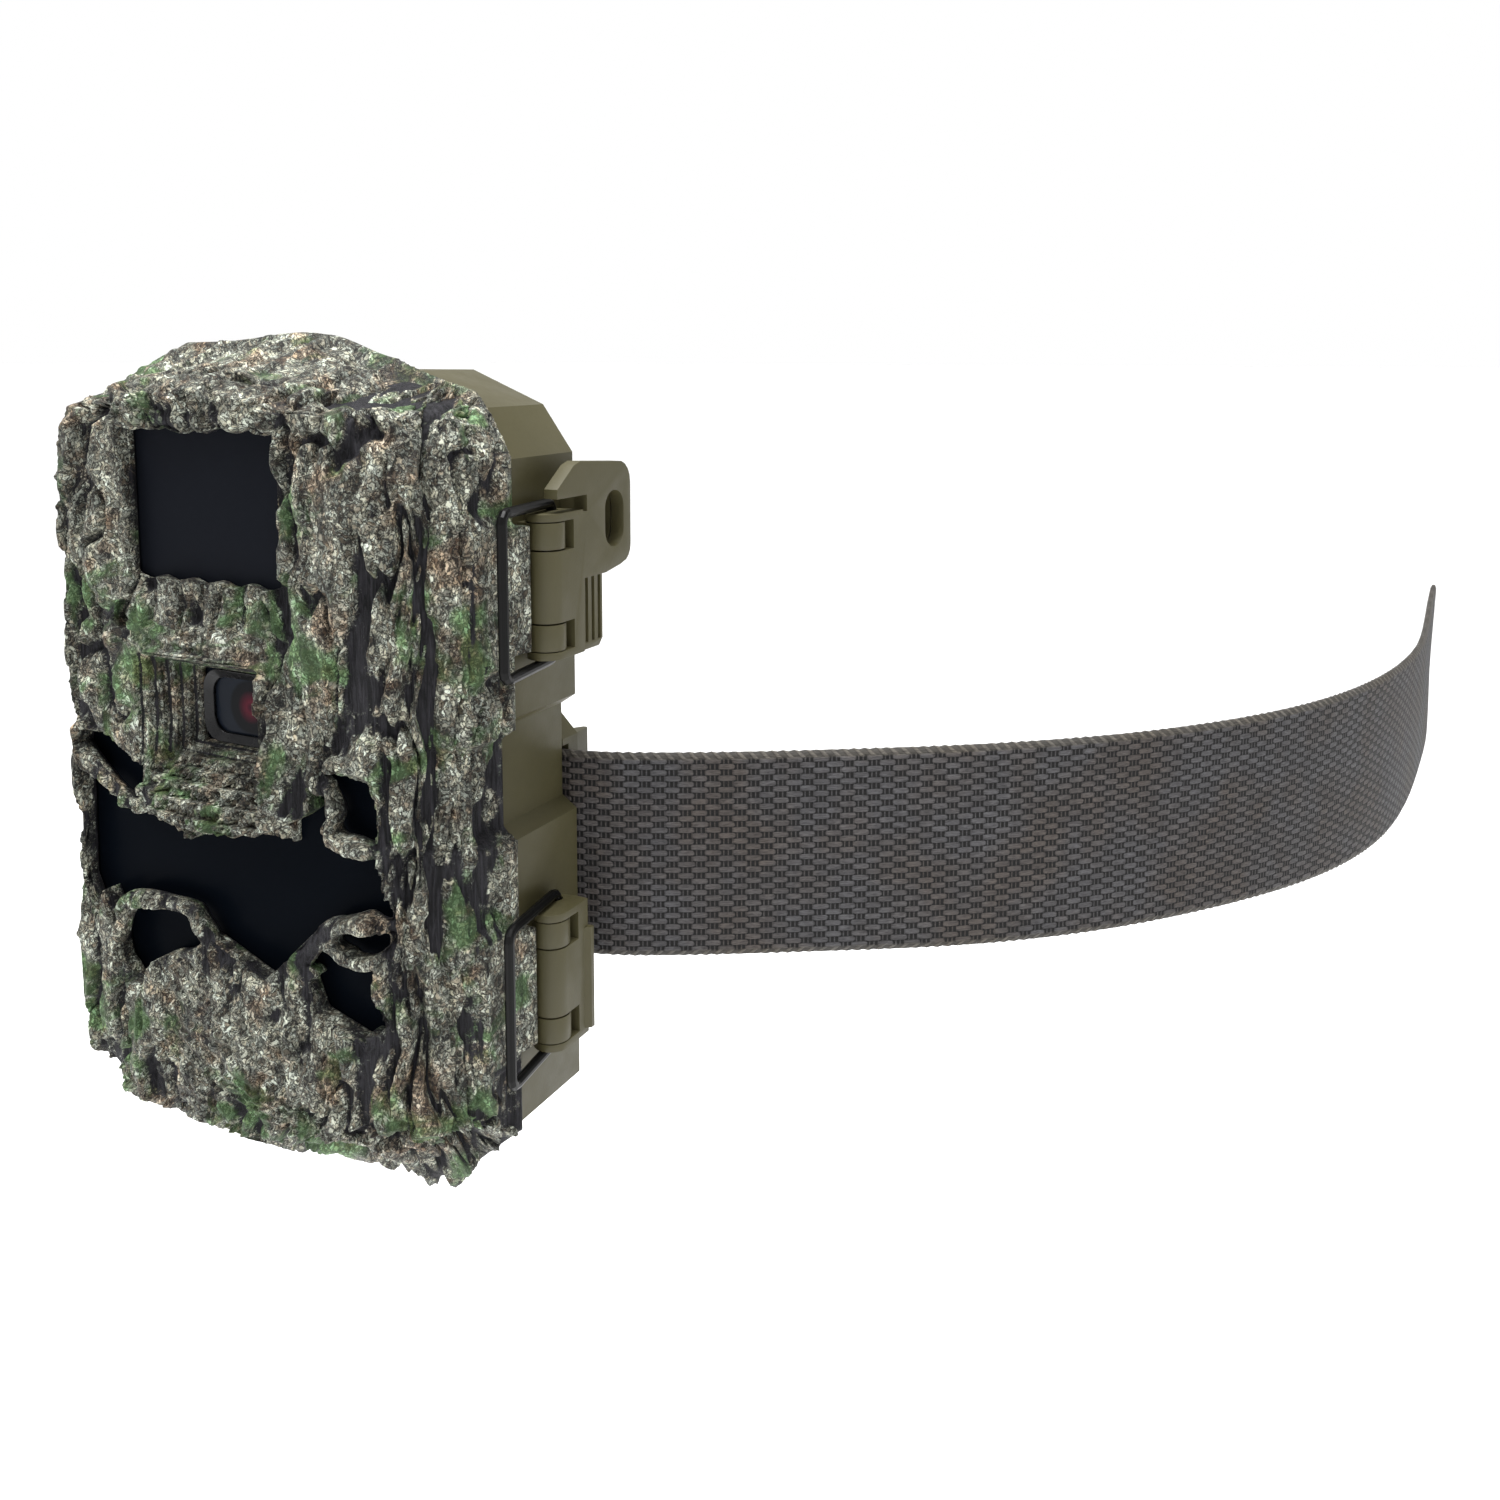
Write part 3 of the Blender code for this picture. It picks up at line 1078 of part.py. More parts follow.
def lever(name, z):
    """Over-centre lever: middle knuckle, plate and two ears for the bail."""
    barrel = circle(tuple(PIVOT), KNUCKLE_R, 24)
    edge = PIVOT.y + LEVER_REACH
    slab = [(LEVER_INNER, edge), (LEVER_OUTER, edge), (LEVER_OUTER, PIVOT.y)]
    half = LEVER_KNUCKLE_HALF
    body = prism_z(name, hull(barrel + slab), z - half, z + half)
    plate = rectangle(PIVOT.y + KNUCKLE_R + GAP, edge, z - EAR_TOP, z + EAR_TOP)
    add(body, prism_x(f"{name}_plate", plate, LEVER_INNER, LEVER_OUTER))
    boss = circle(tuple(bail_pivot()), BAIL_R + GAP + EAR_BOSS, 20)
    ear = hull(barrel + boss + slab)
    for side in (-1, 1):
        low, high = sorted((z + side * (EAR_TOP - EAR_T), z + side * EAR_TOP))
        add(body, prism_z(f"{name}_ear_{side}", ear, low, high))
    return body


def lever_bores(body, z):
    """The bore for the latch pin and the two holes for the bail's ends."""
    name, half = body.name, LEVER_KNUCKLE_HALF
    bore = circle(tuple(PIVOT), PIN_HOLE_R, 16)
    cut(body, prism_z(f"{name}_bore", bore, z - half - EAR_CLEAR, z + half + EAR_CLEAR))
    hole = circle(tuple(bail_pivot()), BAIL_R + BAIL_CLEAR, 14)
    cut(body, prism_z(f"{name}_bail_holes", hole, z - EAR_TOP - OVER, z + EAR_TOP + OVER))
    return pivot_at(body, PIVOT.x, PIVOT.y, z)


def upper_lever(z):
    """Lever with the padlock lug and a grooved thumb grip below it."""
    body = lever("upper_lever", z)
    add(body, prism_x("lever_lug", lug_outline(z), LEVER_INNER, LEVER_OUTER))
    cut(body, lug_hole("lever_padlock_hole", LEVER_INNER - OVER, LEVER_OUTER + OVER))
    edge = PIVOT.y + LEVER_REACH
    low, high = z + GRIP_LOW, z + LUG_LOW + ROOT
    ribs = chamfered(edge - ROOT / 2, edge + GRIP_REACH, low, high, GROOVE_DEEP)
    add(body, prism_x("lever_grip", ribs, LEVER_INNER, LEVER_OUTER - GROOVE_DEEP / 2.4))
    for number in range(GRIP_GROOVES):
        at = edge + GROOVE_START + number * GROOVE_PITCH
        shape = rectangle(at, at + GROOVE_W, low + GROOVE_DEEP, z + LUG_LOW)
        groove = prism_x(f"grip_groove_{number}", shape, LEVER_OUTER - GROOVE_DEEP, LEVER_OUTER + OVER)
        cut(body, groove)
    return lever_bores(body, z)


def lower_lever(z):
    """Plain lever with a lip along its rear edge."""
    body = lever("lower_lever", z)
    edge = PIVOT.y + LEVER_REACH
    crest = LEVER_OUTER + LIP_OUT
    lip = [(LEVER_OUTER - ROOT, edge - LIP_FRONT), (crest, edge - 0.4), (crest, edge + LIP_BACK)]
    lip += [(LEVER_INNER, edge + LIP_BACK), (LEVER_INNER, edge - LIP_FRONT)]
    add(body, prism_z("lever_lip", lip, z - EAR_TOP + 1.0, z + EAR_TOP - 5.0))
    return lever_bores(body, z)


def lug_outline(z):
    """(y, z) of the padlock lug and the arm that carries it over the bail's leg."""
    edge = PIVOT.y + LEVER_REACH
    front, back = PIVOT.y - 1.2, LUG_HOLE_Y + LUG_HOLE_W / 2 + LUG_EDGE
    slot_top = z + BAIL_HALF + BAIL_R + GAP
    slot_end, root = edge + 1.2, edge - ROOT
    low, top, ear = z + LUG_LOW, z + LUG_TOP, z + EAR_TOP - 0.4
    points = [(root, low), (back - 8.5, low), (back - 3.5, low + 0.8)]
    corner = (back - LUG_CORNER_LOW, low + 4.0)
    points += arc(corner, LUG_CORNER_LOW, -60, 0, 3)
    corner = (back - LUG_CORNER_TOP, top - LUG_CORNER_TOP - 0.8)
    points += arc(corner, LUG_CORNER_TOP, 0, 75, 4)
    points += [(front + 7.0, top), (front + 5.0, top - 0.6)]
    points += [(front, slot_top + 1.6), (front, slot_top), (slot_end, slot_top)]
    return points + [(slot_end, ear), (root, ear)]


def bail(name, z):
    """Black wire loop: two pivot ends in the lever's ears, two legs and a cross wire."""
    pivot = bail_pivot()
    cross = Vector((CATCH_X + GAP + BAIL_R, PART_Y - BAIL_FRONT))
    run = (cross - pivot).normalized() * BAIL_BEND
    turn = [math.radians(a) for a in (0, 30, 60, 90)]
    upper = [(pivot, STACK_HALF + BAIL_END)]
    for t in turn:
        rise = BAIL_BEND * (1 - math.sin(t))
        upper.append((pivot + run * (1 - math.cos(t)), BAIL_HALF - rise))
    for t in turn:
        fall = BAIL_BEND * (1 - math.cos(t))
        upper.append((cross - run * (1 - math.sin(t)), BAIL_HALF - fall))
    path = [(p.x, p.y, z + h) for p, h in upper]
    path += [(p.x, p.y, z - h) for p, h in reversed(upper)]
    wire = smooth(tube_along(name, path, BAIL_R, "wire", 12), 60)
    return pivot_at(wire, pivot.x, pivot.y, z)


# ---------------------------------------------------------------- assembly


def axis_empty(name, x, y, z):
    empty = bpy.data.objects.new(name, None)
    bpy.context.collection.objects.link(empty)
    empty.location = Vector((x, y, z)) * MM
    empty.empty_display_size = 10 * MM
    return empty


def carry(parent, children):
    """Parents children and keeps them where they are."""
    for child in children:
        child.location -= parent.location
        child.parent = parent


def rear_body():
    rear_case()
    case_seal()
    tripod_insert()
    tree_bracket()
    bracket_screw("bracket_screw_upper", SCREW_Z)
    bracket_screw("bracket_screw_lower", -SCREW_Z)
    battery_tray()
    cells()
    contacts()
    for label, z in HINGE_ZS.items():
        reach = HINGE_KNUCKLE * 1.5 + GAP
        pin(f"hinge_pin_{label}", HINGE.x, HINGE.y, z - reach, z + reach)
    for label, z in LATCH_ZS.items():
        pin(f"{label}_latch_pin", PIVOT.x, PIVOT.y, z - STACK_HALF, z + STACK_HALF)


def strap_and_buckle():
    strap()
    buckle_frame()
    buckle_cam()
    x, y = cam_pivot()
    reach = BUCKLE_HALF + BUCKLE_T + ROOT / 2
    pin("buckle_pin", x, y, -reach, reach)


def door():
    """The front cover with all that swings with it, about the hinge axis."""
    axis = axis_empty("front_cover_axis", HINGE.x, HINGE.y, CASE_MID_Z)
    carry(axis, [front_cover(), *panes()])
    carry(axis, [led_board(), light_sensor(), lens_barrel(), lens_glass()])
    carry(axis, [ir_cut_filter(), image_board(), pir_sensor()])
    carry(axis, [main_board(), inner_panel(), lcd_screen()])
    carry(axis, [sd_socket(), sd_card(), usb_socket(), *buttons(), power_switch()])


def latches():
    for label, make in (("upper", upper_lever), ("lower", lower_lever)):
        z = LATCH_ZS[label]
        carry(make(z), [bail(f"{label}_bail", z)])


def main():
    clear_scene()
    rear_body()
    strap_and_buckle()
    door()
    latches()


main()
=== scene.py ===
"""Looks of the trail camera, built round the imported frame.

The bark cover, the webbing and the moulded parts are new meshes that replace their CAD nodes.
Everything else keeps its CAD mesh and gets a better material. Lengths here are in millimetres
unless a name says otherwise, and meshes are written in metres.
"""

import math
from itertools import product

import bmesh
import bpy
import numpy as np
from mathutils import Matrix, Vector


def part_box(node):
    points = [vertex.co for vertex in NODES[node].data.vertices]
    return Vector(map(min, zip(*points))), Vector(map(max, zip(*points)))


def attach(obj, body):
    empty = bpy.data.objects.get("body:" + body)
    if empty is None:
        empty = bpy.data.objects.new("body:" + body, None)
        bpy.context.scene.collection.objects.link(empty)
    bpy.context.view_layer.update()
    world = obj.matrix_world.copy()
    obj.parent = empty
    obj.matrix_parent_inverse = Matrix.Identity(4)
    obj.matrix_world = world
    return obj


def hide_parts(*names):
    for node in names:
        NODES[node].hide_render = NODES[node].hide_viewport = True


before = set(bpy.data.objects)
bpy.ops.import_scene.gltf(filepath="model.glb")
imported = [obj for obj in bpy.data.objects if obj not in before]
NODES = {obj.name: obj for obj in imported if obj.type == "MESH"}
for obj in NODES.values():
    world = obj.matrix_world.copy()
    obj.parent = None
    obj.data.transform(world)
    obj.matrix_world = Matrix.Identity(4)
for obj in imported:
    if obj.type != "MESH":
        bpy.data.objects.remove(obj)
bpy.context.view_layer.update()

MM = 0.001


def box_mm(name):
    low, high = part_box(name)
    return low / MM, high / MM


def middle_z(name):
    low, high = box_mm(name)
    return (low.z + high.z) / 2


# Places read from the frame
PANEL_LOW = box_mm("pir_window")[0]
IR_LOW, IR_HIGH = box_mm("ir_window")
LENS_LOW = box_mm("lens_window")[0]
COVER_DEPTH = 21.5  # from the parting plane to the bark's face
FACE_Y = PANEL_LOW.y - 4.2  # the bark's face stands 4.2 mm ahead of the lower window
PART_Y = FACE_Y + COVER_DEPTH
SIDE_X = 45.0  # half the case's width
HALF_H = 71.0  # half its height
MID_Z = middle_z("rear_case")
IR_Z = middle_z("ir_window")
LENS_Z = middle_z("lens_window")
WINDOW_Z = LENS_Z - 29.7  # height that the lower window's outlines are drawn from
LATCH_ZS = (middle_z("upper_latch_pin"), middle_z("lower_latch_pin"))
HINGE_ZS = (middle_z("hinge_pin_upper"), middle_z("hinge_pin_lower"))

VOXEL = 0.4  # grid of the bark cover's mesh
TERRACES, TERRACE_DEPTH = 8, 1.6  # steps cut round the lens, and how deep each is
AHEAD = FACE_Y - 12.0  # far enough in front of the face for a cutter


# ---------------------------------------------------------------- seeded noise on arrays


def hashed(cell, seed):
    """A number from 0 to 1 for each whole-number cell."""
    value = np.full(len(cell), seed * 974711 + 12345, np.int64)
    for axis, factor in enumerate((374761393, 668265263, 1274126177)[: cell.shape[1]]):
        value = (value + cell[:, axis] * factor) & 0xFFFFFFFF
        value = ((value ^ (value >> 13)) * 1103515245) & 0xFFFFFFFF
    return (value ^ (value >> 16)) / 4294967295.0


def noise(points, seed):
    """Smooth value noise from -1 to 1 at points of any dimension."""
    base = np.floor(points).astype(np.int64)
    part = points - base
    part = part * part * (3 - 2 * part)
    total = np.zeros(len(points))
    for corner in product((0, 1), repeat=points.shape[1]):
        weight = np.where(np.array(corner, bool), part, 1 - part).prod(axis=1)
        total += weight * hashed(base + np.array(corner), seed)
    return total * 2 - 1


def layered(points, seed, octaves=3):
    """Noise in octaves, each half as strong and twice as fine as the last."""
    total, size = np.zeros(len(points)), 1.0
    for octave in range(octaves):
        total += noise(points * 2**octave, seed + octave) * size
        size *= 0.5
    return total


def ramp(value, low, high):
    """Smooth step from 0 at low to 1 at high."""
    t = np.clip((value - low) / (high - low), 0.0, 1.0)
    return t * t * (3 - 2 * t)


def plane(u, v):
    return np.stack([u, v], axis=1)


# ---------------------------------------------------------------- meshes


def coordinates(mesh):
    """Vertex positions of a mesh in millimetres."""
    flat = np.empty(len(mesh.vertices) * 3, np.float32)
    mesh.vertices.foreach_get("co", flat)
    return flat.reshape(-1, 3).astype(float) / MM


def put_coordinates(mesh, points):
    mesh.vertices.foreach_set("co", (points * MM).astype(np.float32).ravel())
    mesh.update()


def normals(mesh):
    flat = np.empty(len(mesh.vertices) * 3, np.float32)
    mesh.vertices.foreach_get("normal", flat)
    return flat.reshape(-1, 3).astype(float)


def put_attribute(mesh, name, values):
    layer = mesh.attributes.get(name) or mesh.attributes.new(name, "FLOAT", "POINT")
    layer.data.foreach_set("value", values.astype(np.float32))


def new_object(name, mesh):
    obj = bpy.data.objects.new(name, mesh)
    bpy.context.scene.collection.objects.link(obj)
    return obj


def evaluated(obj, name):
    """A plain mesh of what the object's modifiers make; the object is removed."""
    bpy.context.view_layer.update()
    graph = bpy.context.evaluated_depsgraph_get()
    mesh = bpy.data.meshes.new_from_object(obj.evaluated_get(graph))
    mesh.name = name
    bpy.data.objects.remove(obj)
    return mesh


def mesh_from(name, points, faces):
    mesh = bpy.data.meshes.new(name)
    mesh.from_pydata([tuple(p) for p in np.asarray(points) * MM], [], faces)
    mesh.validate()
    return mesh


def prism(outline, low, high):
    """A closed prism of an (x, z) outline between two y, as (points, faces)."""
    count = len(outline)
    points = [(x, y, z) for y in (low, high) for x, z in outline]
    faces = [(i, (i + 1) % count, count + (i + 1) % count, count + i) for i in range(count)]
    faces += [tuple(reversed(range(count))), tuple(range(count, 2 * count))]
    return points, faces


def helper(name, shape):
    """A hidden solid for a Boolean, with its faces turned outward."""
    obj = new_object(name, mesh_from(name, *shape))
    bm = bmesh.new()
    bm.from_mesh(obj.data)
    bmesh.ops.remove_doubles(bm, verts=bm.verts, dist=0.01 * MM)
    bmesh.ops.recalc_face_normals(bm, faces=bm.faces)
    bm.to_mesh(obj.data)
    bm.free()
    obj.hide_render = True
    obj.display_type = "WIRE"
    return obj


def boolean(obj, operation, shapes):
    tools = [helper(f"{obj.name}_tool_{i}", shape) for i, shape in enumerate(shapes)]
    for tool in tools:
        step = obj.modifiers.new(tool.name, "BOOLEAN")
        step.operation = operation
        step.solver = "EXACT"
        step.object = tool
    return tools


def tidy_copy(name, node):
    """A copy of a CAD node's mesh with its coplanar triangles joined, ready for a bevel."""
    mesh = NODES[node].data.copy()
    mesh.name = name
    bm = bmesh.new()
    bm.from_mesh(mesh)
    bmesh.ops.remove_doubles(bm, verts=bm.verts, dist=0.01 * MM)
    bmesh.ops.dissolve_limit(bm, angle_limit=math.radians(1.0), verts=bm.verts, edges=bm.edges)
    bm.to_mesh(mesh)
    bm.free()
    mesh.materials.clear()
    return new_object(name, mesh)


def rides(obj, body, slot, *nodes):
    """Puts a finished piece on its body and hides the CAD nodes it stands for. The slot argument is not
    used.
    """
    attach(obj, body)
    if nodes:
        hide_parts(*nodes)
    return obj


# ---------------------------------------------------------------- material graphs


class Graph:
    """A material and its nodes; calling it adds a node, with sockets set or linked by name."""

    def __init__(self, name, **values):
        self.mat = bpy.data.materials.new(name)
        self.mat.use_nodes = True
        self.tree = self.mat.node_tree
        self.shader = self.tree.nodes["Principled BSDF"]
        self.wire(self.shader, values)
        self.place = self("ShaderNodeTexCoord").outputs["Object"]

    def wire(self, node, values):
        for key, value in values.items():
            socket = node.inputs[key] if isinstance(key, int) else node.inputs[key.replace("_", " ")]
            if isinstance(value, bpy.types.NodeSocket):
                self.tree.links.new(value, socket)
            elif isinstance(value, tuple) and len(value) == 3 and socket.type == "RGBA":
                socket.default_value = (*value, 1.0)
            else:
                socket.default_value = value

    def __call__(self, kind, settings=None, **values):
        node = self.tree.nodes.new(kind)
        for key, value in (settings or {}).items():
            setattr(node, key, value)
        self.wire(node, values)
        return node

    def scaled(self, scale, source=None):
        """Object coordinates in units of 1/scale metres."""
        node = self("ShaderNodeMapping", Vector=source or self.place, Scale=scale)
        return node.outputs["Vector"]

    def noise(self, vector, scale, detail=3.0, roughness=0.55, distortion=0.0):
        node = self(
            "ShaderNodeTexNoise",
            Vector=vector,
            Scale=scale,
            Detail=detail,
            Roughness=roughness,
            Distortion=distortion,
        )
        return node.outputs["Fac"]

    def steps(self, factor, stops, mode="LINEAR"):
        """A colour ramp through (position, colour) stops."""
        node = self("ShaderNodeValToRGB", Fac=factor)
        node.color_ramp.interpolation = mode
        elements = node.color_ramp.elements
        while len(elements) < len(stops):
            elements.new(1.0)
        for element, (position, colour) in zip(elements, stops):
            element.position = position
            element.color = (*colour, 1.0) if isinstance(colour, tuple) else (colour,) * 3 + (1.0,)
        return node.outputs["Color"]

    def math(self, operation, first, second=0.5):
        node = self("ShaderNodeMath", {"operation": operation})
        self.wire_index(node, 0, first)
        self.wire_index(node, 1, second)
        return node.outputs["Value"]

    def wire_index(self, node, index, value):
        if isinstance(value, bpy.types.NodeSocket):
            self.tree.links.new(value, node.inputs[index])
        else:
            node.inputs[index].default_value = value

    def mix(self, factor, first, second, blend="MIX"):
        node = self("ShaderNodeMix", {"data_type": "RGBA", "blend_type": blend})
        for index, value in ((0, factor), (6, first), (7, second)):
            colour = (*value, 1.0) if isinstance(value, tuple) and len(value) == 3 else value
            self.wire_index(node, index, colour)
        return node.outputs[2]

    def bump(self, height, strength, distance_mm, below=None):
        values = {"Height": height, "Strength": strength, "Distance": distance_mm * MM}
        if below is not None:
            values["Normal"] = below
        return self("ShaderNodeBump", **values).outputs["Normal"]

    def finish(self, **values):
        self.wire(self.shader, values)
        return self.mat


def moulded(name, colour, roughness, grain, depth, mottling=0.12):
    """Spark-eroded moulded plastic: fine grain, faint mottling and slightly polished patches."""
    g = Graph(name, Specular_IOR_Level=0.3)
    mm = g.scaled((1000.0, 1000.0, 1000.0))
    cloud = g.noise(mm, 0.07, 3.0)
    darker = tuple(c * (1 - mottling) for c in colour)
    lighter = tuple(min(1.0, c * (1 + mottling)) for c in colour)
    base = g.steps(cloud, [(0.3, darker), (0.7, lighter)])
    rough = g.steps(g.noise(mm, 0.25, 3.0), [(0.3, roughness - 0.05), (0.7, roughness + 0.07)])
    fine = g.noise(mm, grain, 2.0)
    return g.finish(Base_Color=base, Roughness=rough, Normal=g.bump(fine, 0.5, depth))


def metal(name, colour, roughness, brushed=(60.0, 60.0, 3000.0)):
    """Metal with fine lines along one direction and a little tarnish."""
    g = Graph(name, Metallic=1.0)
    lines = g.noise(g.scaled(brushed), 1.0, 4.0)
    mm = g.scaled((1000.0, 1000.0, 1000.0))
    cloud = g.noise(mm, 0.3, 4.0)
    base = g.steps(cloud, [(0.25, tuple(c * 0.72 for c in colour)), (0.75, colour)])
    rough = g.steps(lines, [(0.2, roughness - 0.08), (0.8, roughness + 0.12)])
    return g.finish(Base_Color=base, Roughness=rough, Normal=g.bump(lines, 0.25, 0.03))


def bark_camo():
    """Printed bark camouflage under matt lacquer, over the relief that the mesh carries.

    The mesh attribute "plate" rises from 0 in the grooves to 1 on top of the ridges. Where it is low, the
    print gives way to a near-black painted shade for the grooves; random vertical streaks show the same
    dark colour on the ridges.
    """
    g = Graph("bark_camo", Specular_IOR_Level=0.16)
    mm = g.scaled((1000.0, 1000.0, 1000.0))

    def moved(source, scale, reach):
        drift = g("ShaderNodeTexNoise", Vector=source, Scale=scale, Detail=3.0)
        centred = g("ShaderNodeVectorMath", {"operation": "SUBTRACT"})
        g.wire_index(centred, 0, drift.outputs["Color"])
        g.wire_index(centred, 1, (0.5, 0.5, 0.5))
        swirl = g("ShaderNodeVectorMath", {"operation": "SCALE"}, Scale=reach)
        g.wire_index(swirl, 0, centred.outputs["Vector"])
        total = g("ShaderNodeVectorMath", {"operation": "ADD"})
        g.wire_index(total, 0, source)
        g.wire_index(total, 1, swirl.outputs["Vector"])
        return total.outputs["Vector"]

    place = moved(moved(mm, 0.45, 3.0), 2.2, 0.9)
    stretched = g.scaled((1.45, 1.45, 1.0), place)
    flakes = g("ShaderNodeTexVoronoi", Vector=stretched, Scale=1.05)
    borders = g("ShaderNodeTexVoronoi", {"feature": "DISTANCE_TO_EDGE"}, Vector=stretched, Scale=1.05)
    tone = g("ShaderNodeSeparateColor", Color=flakes.outputs["Color"])
    cream, pale, tan = (0.68, 0.63, 0.52), (0.86, 0.89, 0.85), (0.37, 0.31, 0.25)
    grey, umber, black = (0.24, 0.25, 0.235), (0.085, 0.066, 0.052), (0.009, 0.009, 0.010)
    light = [(0.0, umber), (0.14, tan), (0.34, grey), (0.56, cream), (0.82, pale), (1.0, cream)]
    light = g.steps(tone.outputs["Red"], light)
    dim = [(0.0, black), (0.3, umber), (0.55, (0.10, 0.095, 0.085)), (0.85, grey), (1.0, tan)]
    dim = g.steps(tone.outputs["Green"], dim)
    patch = g.noise(g.scaled((1.0, 1.0, 0.55), place), 0.26, 5.0, 0.68)
    printed = g.mix(g.steps(patch, [(0.45, 0.0), (0.58, 1.0)]), dim, light)
    cracks = g.steps(borders.outputs["Distance"], [(0.05, 1.0), (0.2, 0.0)])
    printed = g.mix(g.math("MULTIPLY", cracks, 0.9), printed, black)
    grit = g.noise(g.scaled((1.3, 1.3, 0.9), place), 1.5, 5.0, 0.8)
    printed = g.mix(g.steps(grit, [(0.37, 0.95), (0.45, 0.0)]), printed, black)
    printed = g.mix(g.steps(grit, [(0.57, 0.0), (0.66, 0.55)]), printed, pale)

    green = g.noise(mm, 0.085, 4.0, 0.62, 0.5)
    shade = g.mix(patch, (0.16, 0.36, 0.12), (0.42, 0.80, 0.40))
    tinted = g.mix(1.0, printed, shade, "MULTIPLY")
    lifted = g.mix(0.35, tinted, g.mix(patch, (0.03, 0.06, 0.02), (0.22, 0.36, 0.17)))
    printed = g.mix(g.steps(green, [(0.53, 0.0), (0.62, 0.85)]), printed, lifted)
    cast = g.noise(mm, 0.13, 3.0, 0.6)
    cold = g.mix(1.0, printed, (0.86, 0.90, 0.82), "MULTIPLY")
    warm = g.mix(1.0, printed, (0.80, 0.66, 0.53), "MULTIPLY")
    printed = g.mix(g.steps(cast, [(0.36, 1.0), (0.46, 0.0)]), cold, warm)

    plate = g("ShaderNodeAttribute", {"attribute_name": "plate"}).outputs["Fac"]
    streaks = g.noise(g.scaled((1.5, 1.5, 0.13), mm), 1.0, 5.0, 0.7, 0.9)
    rough_edge = g.math("MULTIPLY", g.math("SUBTRACT", grit, 0.5), 0.9)
    broad_edge = g.math("MULTIPLY", g.math("SUBTRACT", patch, 0.5), 0.8)
    level = g.math("ADD", plate, g.math("ADD", rough_edge, broad_edge))
    # shown is 1 where the print shows and 0 where the near-black painted groove shade takes over; random
    # vertical streaks also bring it down
    unstreaked = g.steps(streaks, [(0.3, 0.1), (0.42, 1.0)])
    shown = g.math("MULTIPLY", g.steps(level, [(0.28, 0.0), (0.5, 1.0)]), unstreaked)
    # near-black painted shade for the grooves and streaks, with faint vertical lines in it
    stripes = g.steps(streaks, [(0.42, 0.0), (0.62, 1.0)])
    groove_shade = g.mix(stripes, (0.004, 0.004, 0.005), (0.028, 0.027, 0.032))
    base = g.mix(shown, groove_shade, printed)
    rough = g.steps(grit, [(0.3, 0.46), (0.7, 0.62)])
    relief = g.bump(grit, 0.6, 0.25)
    return g.finish(Base_Color=base, Roughness=rough, Normal=g.bump(streaks, 0.45, 0.3, relief))


WEAVE_ROW, WEAVE_REPEAT = 1.07, 4.9  # height of a row of floats, and their pitch along the strap


